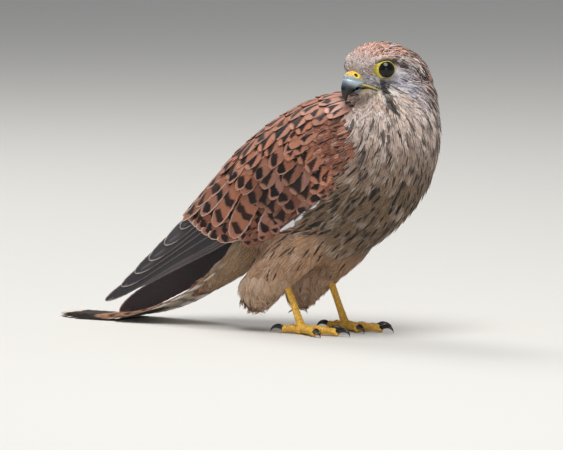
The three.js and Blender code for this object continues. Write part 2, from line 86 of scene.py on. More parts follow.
class Curve:
    """A smooth curve through rows of [place, value, ...]. Called with places, it gives the values there."""

    def __init__(self, rows):
        rows = np.array(rows, float)
        self.at, self.values = rows[:, 0], rows[:, 1:]
        i = np.arange(len(rows))
        before, after = np.maximum(i - 1, 0), np.minimum(i + 1, len(rows) - 1)
        run = (self.at[after] - self.at[before])[:, None]
        self.slopes = (self.values[after] - self.values[before]) / run

    def __call__(self, place):
        place = np.asarray(place, float)
        i = np.clip(np.searchsorted(self.at, place) - 1, 0, len(self.at) - 2)
        step = self.at[i + 1] - self.at[i]
        s = np.clip((place - self.at[i]) / step, 0, 1)[..., None]
        a, rise = self.values[i], self.values[i + 1] - self.values[i]
        start, end = self.slopes[i] * step[..., None], self.slopes[i + 1] * step[..., None]
        return a + s * start + s**2 * (3 * rise - 2 * start - end) + s**3 * (start + end - 2 * rise)


# colours of the plumage
RUFOUS = srgb(170, 111, 87)
RUFOUS_DEEP = srgb(134, 84, 67)
RUFOUS_PALE = srgb(212, 160, 138)
DARK = srgb(17, 14, 16)
FRINGE = srgb(222, 190, 164)
SLATE = srgb(66, 62, 66)
SLATE_PALE = srgb(124, 119, 121)
BUFF = srgb(210, 186, 172)
# The breast's buff, darkened partly as painted shade of the underside.
BREAST = srgb(160, 137, 121)
CREAM = srgb(232, 211, 200)
WHITE = srgb(236, 228, 220)
PEACH = srgb(190, 151, 120)
UNDERTAIL = srgb(206, 170, 134)
GREY = srgb(190, 186, 197)
STREAK = srgb(30, 24, 24)
YELLOW = srgb(224, 180, 52)
LEG_YELLOW = srgb(226, 176, 70)

# sizes shared with the solids
# The head's frame: forward, to the bird's left and up from HEAD_AT.
HEAD_AT = np.array([-1, -43.4, 163.2])
HEAD_YAW = math.radians(165)
FORWARD = np.array([math.cos(HEAD_YAW), math.sin(HEAD_YAW), 0])
LEFTWARD = np.array([-math.sin(HEAD_YAW), math.cos(HEAD_YAW), 0])
UP = np.array([0.0, 0.0, 1.0])
HEAD_AXES = np.stack([FORWARD, LEFTWARD, UP])
EYE = dict(forward=8, side=15.2, up=3.1, radius=6.2, opening=5.45, facing=math.radians(28), far_deeper=1.1)
LEFT_WING_DROOP = 7
TAIL = dict(y=47, z=59.5, slope=math.radians(52), length=168, lift=2.3)
FEET = {"right": np.array([-18.0, 3.0]), "left": np.array([18.0, -5.0])}

# The trunk and neck: rows of place, y and z of the spine, half width, reach to the back, reach to the breast,
# and how far the turned head draws the neck to the left.
TRUNK = Curve([
    [0, -51, 156, 23, 19, 23, 8],
    [1, -52, 141, 26.5, 25, 29, 4],
    [2, -51, 123, 31, 34, 33, 0],
    [3, -41, 105, 34, 43, 35, 0],
    [4, -24, 90, 34.5, 50, 36.5, 0],
    [5, -4, 78, 33, 46, 36, 0],
    [6, 16, 68, 28, 36, 31, 0],
    [7, 34, 62, 20, 24, 22, 0],
    [8, 49, 58, 13.5, 13, 11, 0],
    [9, 60, 53, 8, 6, 6, 0],
])
# The head, in its own frame: rows of place, height of the middle, half width, reach up, reach down and how
# much the lower half is pinched in beside the bill.
HEAD = Curve([
    [-35, -9, 7, 5, 6, 0],
    [-32, -8, 13, 9, 10.5, 0],
    [-27, -5, 17.5, 13, 13, 0],
    [-19, -2, 20.3, 16.6, 15.5, 0],
    [-9, 0, 21.5, 18.7, 17.5, 0],
    [2, 0, 20.8, 19.6, 18, 0],
    [9, 1, 18.6, 17.8, 18, 0.1],
    [14.5, 2, 15.6, 13.6, 16, 0.4],
    [18.5, 2, 12.2, 9, 13, 0.6],
    [21.5, 1, 8.4, 5.4, 9.4, 0.6],
    [23.2, 0, 4.4, 2.4, 6, 0.5],
])
# The shell that a folded wing lies on: rows of place along the body (y), then the middle, half width and half
# height of an upright slice, and the angles of its lower and upper edges.
SHELL = Curve([
    [-56, 0, 119, 24, 17, -20, 70],
    [-50, 0, 118, 30, 25, -28, 78],
    [-38, 0, 114, 35, 36, -42, 88],
    [-20, 0, 108, 37.5, 42, -46, 91],
    [0, 0, 101, 38, 45, -48, 91],
    [20, 0, 94, 36, 43, -50, 91],
    [38, -0.5, 86, 33, 40, -51, 91],
    [63, -1, 72, 28, 34, -52, 90],
    [83, -2.5, 60, 23, 26, -56, 86],
    [98, -5, 50, 18, 20, -60, 80],
    [115, -7, 39.5, 13.5, 14.5, -60, 70],
    [130, -8, 31, 10, 11, -60, 65],
    [146, -8, 21.5, 8, 9, -60, 60],
    [164, -8, 12, 6.5, 8, -60, 60],
])
# Where the coverts' firm part starts and ends (y), for each angle round the wing.
CORE_ENDS = Curve([
    [-60, -48, 14],
    [-30, -53, 24],
    [0, -56, 36],
    [40, -50, 48],
    [70, -44, 56],
    [90, -40, 58],
])
# The feathered thigh: rows of place, x, y, z, half width and half depth, for the bird's left.
THIGH = Curve([
    [0, 13, -12, 76, 11, 16],
    [1, 16.5, -1, 62, 14, 23],
    [2, 18, 12, 47, 15.2, 26],
    [3, 18.5, 24, 34, 14, 24],
    [4, 18, 31, 23, 9, 15.5],
    [5, 17.5, 34, 15.5, 3.6, 6],
])
# The coverts round the tail's root: rows of distance along the tail, half width, reach up and reach down.
TAIL_COVERTS = Curve([
    [-16, 12, 11, 11],
    [-4, 13.5, 10.5, 12],
    [14, 13.5, 7, 12],
    [34, 12.5, 4, 9],
    [52, 10.5, 2.2, 5],
    [66, 6, 1.4, 1.8],
])
# The ridge over each eye, in the head's frame: rows of place, forward, side, up and radius.
BROW = Curve([
    [0, 19, 8.2, 5.2, 1.2],
    [1, 14.5, 13, 8.6, 2.4],
    [2, 8, 16.6, 10.2, 3],
    [3, 1, 18, 10, 2.6],
    [4, -6, 18.6, 8.5, 1],
])
# Sections of the head's horn, each with its place, forward, up, half width and half height. BILL_BELOW is the
# upper bill's half height under its middle.
CERE = [[0, 16.5, -2.8, 7.2, 4.6], [1, 20, -2.6, 6.3, 4.5], [2, 23.6, -2.4, 4.9, 4.0],
        [3, 26, -2.8, 3, 2.7], [4, 27.2, -3.3, 1, 1]]
UPPER_BILL = [[0, 15, -4.4, 7, 4], [1, 19.5, -5.2, 6, 4.9], [2, 23.6, -5.8, 5, 5], [3, 26.2, -8.4, 3.8, 3.9],
              [4, 27.3, -11.4, 2.5, 2.7], [5, 27.3, -14.4, 1.3, 1.5], [6, 26.8, -17, 0.25, 0.25]]
BILL_BELOW = Curve([[0, 2.2], [1, 2.9], [2, 4.7], [3, 3.6], [4, 2.6], [5, 1.5], [6, 0.25]])
LOWER_BILL = [[0, 11, -9.3, 9.6, 1.5], [1, 14.5, -9.3, 7.6, 1.7], [2, 19, -10.1, 5.5, 1.9],
              [3, 22.5, -11.3, 3.5, 1.6], [4, 24.4, -12.2, 1.4, 0.7]]


def head_to_body(p):
    return HEAD_AT + np.asarray(p, float) @ HEAD_AXES


def body_to_head(p):
    return (p - HEAD_AT) @ HEAD_AXES.T


# meshes
def object_of(name, points, faces):
    """An object from working-frame points and a list of arrays of faces of equal length."""
    me = bpy.data.meshes.new(name)
    points = ((points - ORIGIN) * MM).astype(np.float32)
    me.vertices.add(len(points))
    me.vertices.foreach_set("co", points.ravel())
    loops = np.concatenate([f.ravel() for f in faces]).astype(np.int32)
    sizes = np.concatenate([np.full(len(f), f.shape[1]) for f in faces])
    me.loops.add(len(loops))
    me.loops.foreach_set("vertex_index", loops)
    me.polygons.add(len(sizes))
    me.polygons.foreach_set("loop_start", np.concatenate([[0], np.cumsum(sizes)[:-1]]).astype(np.int32))
    me.update(calc_edges=True)
    me.validate()
    ob = bpy.data.objects.new(name, me)
    bpy.context.scene.collection.objects.link(ob)
    return ob


def add_colours(ob, colours):
    rgba = np.ones((len(ob.data.vertices), 4), np.float32)
    rgba[:, :3] = np.clip(colours, 0.002, 1)
    layer = ob.data.color_attributes.new("Col", "FLOAT_COLOR", "POINT")
    layer.data.foreach_set("color", rgba.ravel())


def add_map(ob, name, uv):
    """A UV map from one place for each vertex."""
    index = np.zeros(len(ob.data.loops), np.int32)
    ob.data.loops.foreach_get("vertex_index", index)
    layer = ob.data.uv_layers.new(name=name)
    layer.data.foreach_set("uv", np.asarray(uv, np.float32)[index].ravel())


def finish_piece(ob, material, slot, replaces=()):
    ob.data.materials.clear()
    ob.data.materials.append(material)
    ob.data.polygons.foreach_set("use_smooth", np.ones(len(ob.data.polygons), bool))
    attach(ob, "root")
    if replaces:
        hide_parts(*replaces)


def tube_faces(rings, sides, start=0):
    """Quads and end triangles of a closed tube whose two end points follow its rings."""
    i, j = np.meshgrid(np.arange(rings - 1), np.arange(sides), indexing="ij")
    a, b = i * sides + j, i * sides + (j + 1) % sides
    quads = np.stack([a, b, b + sides, a + sides], -1).reshape(-1, 4)
    k = np.arange(sides)
    first, last = rings * sides, rings * sides + 1
    near = np.stack([(k + 1) % sides, k, np.full(sides, first)], -1)
    base = (rings - 1) * sides
    far = np.stack([base + k, base + (k + 1) % sides, np.full(sides, last)], -1)
    return quads + start, np.concatenate([near, far]) + start


def tubes(list_of_rings):
    """Points and faces of several closed tubes, each an array of rings."""
    points, quads, tris, start = [], [], [], 0
    for rings in list_of_rings:
        m, n, _ = rings.shape
        points.append(np.concatenate([rings.reshape(-1, 3), rings[:1].mean(1), rings[-1:].mean(1)]))
        q, t = tube_faces(m, n, start)
        quads.append(q)
        tris.append(t)
        start += m * n + 2
    return np.concatenate(points), [np.concatenate(quads), np.concatenate(tris)]


def tube_piece(name, list_of_rings, place, paint, material, slot, replaces=()):
    """A piece of closed tubes. place puts its points in the body's frame, and paint gives their colours."""
    points, faces = tubes(list_of_rings)
    ob = object_of(name, place(points), faces)
    add_colours(ob, paint(points))
    finish_piece(ob, material, slot, replaces)


def round_angles(sides):
    return np.linspace(0, 2 * np.pi, sides, endpoint=False)


def clear_of_floor(rings):
    rings[..., 2] = np.maximum(rings[..., 2], FLOOR_GAP)
    return rings


def ellipse_rings(middles, rights, ups, widths, aboves, belows, sides):
    """Rings round middles. A single direction stands for all rings."""
    angle = round_angles(sides)
    rights, ups = (np.broadcast_to(np.asarray(v, float), middles.shape) for v in (rights, ups))
    c, s = np.cos(angle), np.sin(angle)
    rise = np.where(s > 0, np.outer(aboves, s), np.outer(belows, s))
    sideways = rights[:, None] * np.outer(widths, c)[..., None]
    return middles[:, None] + sideways + ups[:, None] * rise[..., None]


# forms of the body
def frame_along(curve, places, step=0.05):
    """A curve's values at places, and the way that its first two run there."""
    at = curve(places)
    along = unit((curve(places + step) - curve(places - step))[:, :2])
    return at, along


def trunk_rings(shrink, count=40, sides=56):
    places = np.linspace(0, 9, count)
    at, along = frame_along(TRUNK, places)
    back = np.stack([-along[:, 1], along[:, 0]], -1)
    ups = np.stack([0 * back[:, 0], back[:, 0], back[:, 1]], -1)
    middles = np.stack([at[:, 5], at[:, 0], at[:, 1]], -1)
    size = np.maximum(at[:, 2:5] - shrink, 1)
    return ellipse_rings(middles, [-1, 0, 0], ups, size[:, 0], size[:, 1], size[:, 2], sides)


def head_rings(shrink, count=44, sides=56):
    forward = np.linspace(-35 + shrink, 23.2 - shrink, count)
    height, width, above, below, pinch = HEAD(forward).T
    angle = round_angles(sides)
    rise = np.sin(angle)
    narrowed = np.where(rise < 0, 1 - pinch[:, None] * rise**2, 1)
    reach = np.where(rise > 0, above[:, None], below[:, None]) - shrink
    across = np.cos(angle) * np.maximum(width[:, None] * narrowed - shrink, 0.5)
    ahead = np.broadcast_to(forward[:, None], across.shape)
    local = np.stack([ahead, across, height[:, None] + rise * reach], -1)
    round_cere = smooth(local[..., 2], 6.5, 2) * smooth(local[..., 2], -12, -8)
    local[..., 1] *= 1 - 0.2 * round_cere * smooth(local[..., 0], 14, 20)
    local[..., 0] -= 1.4 * round_cere * smooth(local[..., 0], 18, 23)
    return head_to_body(local)


def brow_rings(side, shrink):
    x, y, z, radius = BROW(np.linspace(0, 4, 14)).T
    radius = np.maximum(radius - shrink, 0.3)
    middles = np.stack([x, side * y, z], -1)
    return head_to_body(ellipse_rings(middles, [0, 1, 0], [0, 0, 1], radius, radius * 0.7, radius * 0.7, 14))


def tail_path(distance, above):
    """y and z on the tail: down from its root's slope, bending on to the floor, then along it."""
    turn = TAIL["slope"]
    radius = TAIL["z"] / (1 - math.cos(turn))
    slope = np.maximum(turn - np.maximum(distance, 0) / radius, 0)
    before = np.minimum(distance, 0)
    flat = np.maximum(distance - radius * turn, 0)
    c, s = np.cos(slope), np.sin(slope)
    y = TAIL["y"] + radius * (math.sin(turn) - s) + flat + before * math.cos(turn) + above * s
    z = TAIL["z"] - radius * (c - math.cos(turn)) - before * math.sin(turn) + above * c
    return y, z


def tail_covert_rings(shrink, count=26, sides=30):
    distance = np.linspace(-16, 66, count)
    width, above, below = TAIL_COVERTS(distance).T - shrink
    y, z = tail_path(distance, 1.5)
    y_up, z_up = tail_path(distance, 2.5)
    ups = np.stack([0 * y, y_up - y, z_up - z], -1)
    width, above, below = (np.maximum(v, 0.4) for v in (width, above, below))
    return ellipse_rings(np.stack([0 * y, y, z], -1), [1, 0, 0], ups, width, above, below, sides)


def thigh_rings(name, shrink, count=24, sides=36):
    places = np.linspace(0, 5, count)
    x, y, z, width, depth = THIGH(places).T
    droop = np.minimum(places / 4, 1) * 0.25
    backs = np.stack([0 * droop, np.cos(droop), -np.sin(droop)], -1)
    middles = np.stack([SIDES[name] * x, y + FEET[name][1] - FEET["right"][1], z], -1)
    width, depth = np.maximum(width - shrink, 0.6), np.maximum(depth - shrink, 0.8)
    return ellipse_rings(middles, [SIDES[name], 0, 0], backs, width, depth, depth, sides)


class Wing:
    """Places on the shell that a folded wing lies on. Angle 0 faces outwards and 90 faces up."""

    def __init__(self, side):
        self.side = side
        self.droop = LEFT_WING_DROOP if side > 0 else 0

    def sag(self, y):
        """How much lower the wing hangs towards its tip."""
        return self.droop * np.maximum((y - 20) / 140, 0) ** 2

    def surface(self, y, angle):
        y, angle = np.broadcast_arrays(np.asarray(y, float), np.asarray(angle, float))
        shell = SHELL(y)
        x, z, width, height = (shell[..., k] for k in range(4))
        turn = np.radians(angle)
        x = self.side * (np.cos(turn) * width - x)
        return np.stack([x, y, z - self.sag(y) + np.sin(turn) * height], -1)

    def frame(self, y, angle):
        step = 0.02
        at = self.surface(y, angle)
        along_y = (self.surface(np.asarray(y) + step, angle) - at) / step
        along_angle = (self.surface(y, np.asarray(angle) + step) - at) / step
        return at, along_y, along_angle, unit(np.cross(along_y, along_angle)) * self.side

    def point(self, y, angle, across, out):
        """The place across mm further round the shell than y and angle, and out mm off it."""
        _, along_y, along_angle, _ = self.frame(y, angle)
        skew = (along_y * along_angle).sum(-1) / (along_y**2).sum(-1)
        per_degree = np.sqrt((along_angle**2).sum(-1) - skew**2 * (along_y**2).sum(-1))
        turn = across / per_degree
        at, _, _, outward = self.frame(y - skew * turn, angle + turn)
        return at + outward * np.asarray(out)[..., None]


WINGS = {name: Wing(side) for name, side in SIDES.items()}


def wing_core_rings(wing, shrink, count=20, sides=30):
    rings = []
    for s in np.linspace(0, 1, count):
        front, rear = CORE_ENDS(0.0)
        low, high = SHELL(lerp(front, rear, s))[4:6]
        angles = np.linspace(low + 1, high - 1, sides // 2)
        depth = lerp(12, 6, s**2) * min(1, 0.35 + 3 * s)
        ends = CORE_ENDS(angles)
        y = lerp(ends[:, 0] + shrink, ends[:, 1], s)
        outer = wing.point(y, angles, 0.0, np.full(len(y), -shrink))
        inner = wing.point(y, angles, 0.0, np.full(len(y), -depth))[::-1]
        rings.append(np.concatenate([outer, inner]))
    return np.array(rings)


# materials
def material(name, roughness=0.6, sheen=0.0, coat=0.0, coat_roughness=0.1, speckle=0.12, scale=900.0,
             bump=0.25, bump_scale=2600.0, stretch=None, specular=0.35, subsurface=0.0):
    """Attribute colour varied by noise, with a fine noise bump. stretch draws the bump out along a UV map's
    first axis."""
    mat = bpy.data.materials.new(name)
    mat.use_nodes = True
    nodes, links = mat.node_tree.nodes, mat.node_tree.links
    shader = nodes["Principled BSDF"]

    def node(kind, **values):
        """A new node with values on its sockets, whose names have _ for a space."""
        made = nodes.new("ShaderNode" + kind)
        for socket, value in values.items():
            made.inputs[socket.replace("_", " ")].default_value = value
        return made

    finish = {
        "Roughness": roughness, "Sheen Weight": sheen, "Sheen Roughness": 0.4, "Coat Weight": coat,
        "Coat Roughness": coat_roughness, "Specular IOR Level": specular, "Subsurface Weight": subsurface,
    }
    if subsurface:
        finish.update({"Subsurface Radius": (0.0012, 0.0007, 0.0004), "Subsurface Scale": 1.0})
    for socket, value in finish.items():
        shader.inputs[socket].default_value = value
    place = node("TexCoord").outputs["Object"]
    colour = node("VertexColor")
    colour.layer_name = "Col"
    if stretch:
        uv = node("UVMap")
        uv.uv_map = "Vane"
        mapping = node("Mapping", Scale=stretch)
        links.new(uv.outputs["UV"], mapping.inputs["Vector"])
        place, scale = mapping.outputs["Vector"], 0.6
    noise = node("TexNoise", Scale=scale, Detail=4)
    links.new(place, noise.inputs["Vector"])
    level = node("MapRange", From_Min=0.3, From_Max=0.7, To_Min=1 - speckle, To_Max=1 + speckle)
    links.new(noise.outputs["Fac"], level.inputs["Value"])
    varied = node("VectorMath")
    varied.operation = "SCALE"
    links.new(colour.outputs["Color"], varied.inputs[0])
    links.new(level.outputs["Result"], varied.inputs["Scale"])
    links.new(varied.outputs["Vector"], shader.inputs["Base Color"])
    fine = node("TexNoise", Scale=bump_scale, Detail=3)
    links.new(place, fine.inputs["Vector"])
    relief = node("Bump", Strength=bump, Distance=0.0004)
    links.new(fine.outputs["Fac"], relief.inputs["Height"])
    links.new(relief.outputs["Normal"], shader.inputs["Normal"])
    return mat


MAT = {
    "coat": material("soft_feathers", roughness=0.75, sheen=0.12, speckle=0.08, specular=0.2),
    "vane": material("vane_feathers", roughness=0.62, sheen=0.03, specular=0.22, speckle=0.16, bump=0.4,
                     bump_scale=1.0, stretch=(2.2, 0.16, 1.0)),
    "skin": material("down", roughness=0.85, speckle=0.2, scale=500, bump=0.6, bump_scale=1200),
    "horn": material("horn", roughness=0.26, coat=0.2, coat_roughness=0.12, speckle=0.06, bump=0.06,
                     specular=0.5),
    "bare": material("bare_skin", roughness=0.48, coat=0.15, speckle=0.1, bump=0.5, bump_scale=1800,
                     specular=0.45, subsurface=0.2),
    "scale": material("leg_scales", roughness=0.5, coat=0.08, speckle=0.34, scale=800, bump=0.4,
                      bump_scale=2200),
    "eye": material("eye_ball", roughness=0.05, speckle=0.05, bump=0.0, specular=0.32),
}


# markings of the body coat
def segment_distance(p, a, b):
    a, b = np.array(a, float), np.array(b, float)
    t = np.clip(((p - a) @ (b - a)) / ((b - a) @ (b - a)), 0, 1)
    return np.linalg.norm(p - (a + t[:, None] * (b - a)), axis=-1)


def regions(p):
    """Weights of the body's regions at each point, used for the skin, for the tufts and for their sizes."""
    f, side, u = body_to_head(p).T
    head = smooth(u, -25, -17)
    y, z = p[:, 1] - TAIL["y"], p[:, 2] - TAIL["z"]
    distance = y * math.cos(TAIL["slope"]) - z * math.sin(TAIL["slope"])
    above = y * math.sin(TAIL["slope"]) + z * math.cos(TAIL["slope"])
    vent = smooth(distance, -8, 8) * smooth(p[:, 1], 36, 50)
    over_tail = vent * smooth(above, 8, 11)
    thigh = smooth(p[:, 2], 66, 50) * (1 - vent) * smooth(np.abs(p[:, 0]), 2, 8)
    return f, side, u, head, vent, over_tail, thigh


def coat_colour(p):
    """The coat's colour at each point, and the weights of the crown, of the line behind the eye and of the
    moustache."""
    f, side, u, head, vent, over_tail, thigh = regions(p)
    local = np.stack([f, np.abs(side), u], -1)
    z = p[:, 2]
    mantle = smooth(p[:, 1] + (z - 128) * 0.35, -38, -26) * smooth(z, 92, 104)
    colour = layered(
        all_over(BREAST, p),
        # Painted shade: the breast and flanks darker below the upper breast, where the underside lies in shade.
        (srgb(128, 105, 82), smooth(z, 112, 86)),
        (CREAM, smooth(z, 108, 134) * 0.85),
        (PEACH, smooth(z, 76, 56) * smooth(p[:, 1], -34, -6)),
        # Painted light: paler towards the bottom, as bounce light on the down-facing fluff.
        (srgb(212, 174, 144), smooth(z, 40, 22) * 0.8),
        (blend(UNDERTAIL, srgb(120, 96, 68), 0.45), vent),
        (RUFOUS, over_tail),
        (srgb(240, 224, 214), smooth(z, 124, 140) * 0.65),
        (RUFOUS, mantle),
    )

    def near(a, b, edge, core):
        return smooth(segment_distance(local, a, b), edge, core)

    crown = smooth(u, 8.5, 13.5) * smooth(f, 21, 10)
    eye_line = near((3.5, 18.5, 8), (-16, 18, 1), 3.0, 1.0)
    face = layered(
        all_over(GREY, p),
        (BUFF, smooth(u, -2, 7) * 0.7),
        # The chin's whitish buff, brightened partly as painted light on its down-facing, shaded side.
        (srgb(248, 236, 222), smooth(u, -6, -12) * smooth(f, -4, 6) * 0.9),
        (srgb(204, 174, 156), smooth(u, -10, -16) * smooth(f, -12, -2) * 0.7),
        (srgb(206, 176, 160), smooth(f, -2, -18) * 0.8),
        (srgb(230, 184, 166), crown),
        (RUFOUS_PALE, smooth(f, -16, -26) * smooth(u, -12, 0) * 0.8),
        (CREAM, near((15, 13, 10), (-6, 19, 9.5), 3.4, 1.2) * 0.85),
        (srgb(238, 232, 232), near((2, 19.5, 1.5), (-13, 18.5, -5), 2.6, 0.8) * 0.6),
        (srgb(52, 44, 42), eye_line * 0.88),
    )
    flat = np.stack([f - 0.84 * (np.abs(side) - 16), 0 * f, u], -1)
    bends = [(10.5, 0, -6), (8, 0, -12), (3.2, 0, -18.5), (0.2, 0, -26)]
    stripe = np.min([segment_distance(flat, a, b) for a, b in zip(bends, bends[1:])], 0)
    moustache = smooth(stripe, 3.9, 1.3) * smooth(np.abs(side), 9, 12)
    from_eye = np.linalg.norm(local - (EYE["forward"] + 2.5, EYE["side"] + 3, EYE["up"]), axis=-1)
    # Painted shade: dark grey-brown above and behind the eye, under the brow.
    brow_shade = smooth(from_eye, 8.6, 6.6) * smooth(u, EYE["up"] - 1, EYE["up"] + 3)
    lores = near((18, 8, 2), (14, 12, 3), 4.5, 2) * smooth(u, 7, 4)
    colour = layered(
        colour,
        (face, smooth(u, -36, -12)),
        (srgb(166, 146, 122), lores * 0.6),
        (srgb(52, 48, 50), moustache * 0.92),
        (srgb(84, 80, 80), near((13, 13, -4), (4, 17, -6), 3.6, 1.0) * 0.7),
        (srgb(96, 82, 74), brow_shade * 0.7),
    )
    return colour, crown * head, eye_line * head, moustache


# The wing's tracts, as places y and angle on its shell: its front edge under the neck's feathers (y for each
# angle), its lower edge and the line under the scapulars (angle for each y), and the rear of the shoulder's
# small coverts (y for each angle).
FRONT_EDGE = Curve([
    [-60, -30], [-26, -39], [-13, -43.5], [3, -45.5], [28, -38], [36, -33.5], [47, -26.5], [63, -17],
    [90, -10], [100, -10],
])
LOWER_EDGE = Curve([[-45, -10], [-39, -26], [-27.5, -32.5], [-10, -40], [6, -45], [30, -49], [60, -52]])
SCAPULAR_LINE = Curve([[-50, 52], [-33, 38], [-10, 30], [15, 28], [38, 29], [55, 34], [75, 44]])
SHOULDER_REAR = Curve([[-45, -32], [-10, -26], [12, -13], [40, -6]])


def wing_place(p):
    """Whether each point lies on a wing's shell, and its angle on the shell of its side."""
    found, angles = np.zeros(len(p), bool), np.zeros(len(p))
    for wing in WINGS.values():
        shell = SHELL(p[:, 1])
        across = (wing.side * p[:, 0] + shell[:, 0]) / shell[:, 2]
        up = (p[:, 2] - shell[:, 1]) / shell[:, 3]
        angle, reach = np.degrees(np.arctan2(up, across)), np.hypot(up, across)
        on = (reach > 0.55) & (reach < 1.14) & (angle > shell[:, 4]) & (angle < 92)
        on &= wing.side * p[:, 0] > -1
        ends = CORE_ENDS(np.clip(angle, -60, 90))
        on &= (p[:, 1] > ends[:, 0] + 1) & (p[:, 1] < ends[:, 1] + 30)
        found |= on
        angles = np.where(on | (wing.side * p[:, 0] > 0) & ~found, angle, angles)
    return found, angles


def in_front(y, angle):
    """How far in front of the wing's front edge a place lies."""
    return FRONT_EDGE(angle)[..., 0] - y


def soft_over_wing(p):
    """Whether the body's soft coat grows at each point, then what wing_place says of it."""
    winged, angle = wing_place(p)
    soft = (in_front(p[:, 1], angle) > 3.5) | (angle < LOWER_EDGE(p[:, 1])[:, 0] - 3)
    return ~winged | soft, winged, angle


# The skin shows only in the gaps between the feathers: painted shade darkens it there, the coat's colour to
# 0.75 and, under the wings' feathers, deep rufous to 0.7.
def skin_colour(p):
    return blend(coat_colour(p)[0] * 0.75, RUFOUS_DEEP * 0.7, ~soft_over_wing(p)[0])


# the skin
def make_skin():
    rings = [trunk_rings(2.6), head_rings(1.2), tail_covert_rings(1.5)]
    for name, side in SIDES.items():
        rings += [brow_rings(side, 1.0), thigh_rings(name, 2.4), wing_core_rings(WINGS[name], 1.8)]
    points, faces = tubes(rings)
    rough = object_of("rough", points, faces)
    remesh = rough.modifiers.new("remesh", "REMESH")
    remesh.mode = "VOXEL"
    remesh.voxel_size = 1.15 * MM
    soften = rough.modifiers.new("soften", "SMOOTH")
    soften.factor = 0.5
    soften.iterations = 7
    me = bpy.data.meshes.new_from_object(rough.evaluated_get(bpy.context.evaluated_depsgraph_get()))
    bpy.data.objects.remove(rough)
    ob = bpy.data.objects.new("skin", me)
    bpy.context.scene.collection.objects.link(ob)
    for layer in list(me.uv_layers):
        me.uv_layers.remove(layer)
    me.uv_layers.new(name="OFBake")
    bpy.context.view_layer.objects.active = ob
    ob.select_set(True)
    bpy.ops.object.mode_set(mode="EDIT")
    bpy.ops.mesh.select_all(action="SELECT")
    bpy.ops.uv.smart_project(angle_limit=math.radians(66), island_margin=0.002)
    bpy.ops.object.mode_set(mode="OBJECT")
    ob.select_set(False)
    return ob


def vertex_values(ob, what):
    values = np.zeros(len(ob.data.vertices) * 3, np.float32)
    ob.data.vertices.foreach_get(what, values)
    return values.reshape(-1, 3)


skin = make_skin()
skin_points = vertex_values(skin, "co").astype(float) / MM + ORIGIN
skin_normals = vertex_values(skin, "normal")
add_colours(skin, skin_colour(skin_points))
flesh = ["head", "neck", "torso", "tail_coverts"]
flesh += [f"{part}_{s}" for s in SIDES for part in ("wing", "thigh")]
finish_piece(skin, MAT["skin"], "breast_feathers", flesh)
skin_faces = [tuple(poly.vertices) for poly in skin.data.polygons]
skin_tree = BVHTree.FromPolygons([tuple(v) for v in skin_points], skin_faces)


def face_places():
    """Where the first corner of each face of the skin lies on its unwrap."""
    me = skin.data
    uv = np.zeros(len(me.loops) * 2, np.float32)
    me.uv_layers["OFBake"].data.foreach_get("uv", uv)
    start = np.zeros(len(me.polygons), np.int32)
    me.polygons.foreach_get("loop_start", start)
    return uv.reshape(-1, 2)[start]


SKIN_UV = face_places()


# the lie of the coat
BILL_ROOT = head_to_body([22, 0, -3])
SPINE_PLACES = np.linspace(0, 9, 181)
SPINE, SPINE_ALONG = frame_along(TRUNK, SPINE_PLACES)


def lie(p, normal):
    """The direction that feathers point in at each point of the skin."""
    f, side, u, head, vent, over_tail, thigh = regions(p)
    down = -UP
    rear = smooth(f, 4, -28)
    on_head = unit(p - BILL_ROOT) + down * (0.25 + 1.5 * rear)[:, None]
    on_head += np.sign(side)[:, None] * LEFTWARD * (0.25 * smooth(f, 12, 22))[:, None]
    on_head += (down - 0.35 * FORWARD) * (1.6 * smooth(u, -9, -15) * smooth(f, 0, 8))[:, None]
    eye = head_to_body(np.stack([0 * f + EYE["forward"], np.sign(side) * EYE["side"], 0 * f + EYE["up"]], -1))
    from_eye = p - eye
    on_head += unit(from_eye) * (0.9 * smooth(np.linalg.norm(from_eye, axis=-1), 13, 7))[:, None]
    nearest = np.argmin(((p[:, None, 1:] - SPINE[None, :, :2]) ** 2).sum(-1), 1)
    along = SPINE_ALONG[nearest]
    on_body = np.stack([0 * along[:, 0], along[:, 0], along[:, 1]], -1)
    on_neck = unit(unit(p - BILL_ROOT) * 0.5 + on_body)
    on_body = on_neck * smooth(p[:, 2], 112, 138)[:, None] + on_body * smooth(p[:, 2], 138, 112)[:, None]
    leg = down + np.array([0, 1.0, 0]) * lerp(0.12, 0.65, smooth(p[:, 2], 26, 48))[:, None]
    on_body = unit(on_body) * (1 - thigh)[:, None] + leg * thigh[:, None]
    tailward = np.array([0, math.cos(TAIL["slope"]), -math.sin(TAIL["slope"])])
    on_body = unit(on_body) * (1 - vent)[:, None] + tailward * vent[:, None]
    way = unit(unit(on_head) * head[:, None] + unit(on_body) * (1 - head)[:, None])
    winged, angle = wing_place(p)
    over = winged * smooth(in_front(p[:, 1], angle), 12, -2)
    way = unit(way * (1 - over)[:, None] + np.array([0, 0.86, -0.5]) * over[:, None])
    return unit(way - normal * (way * normal).sum(-1, keepdims=True))


def nearest_on_skin(points):
    """The nearest skin points and their outward normals."""
    found = [skin_tree.find_nearest(tuple(p)) for p in points]
    return np.array([x[0] for x in found]), np.array([x[1] for x in found])


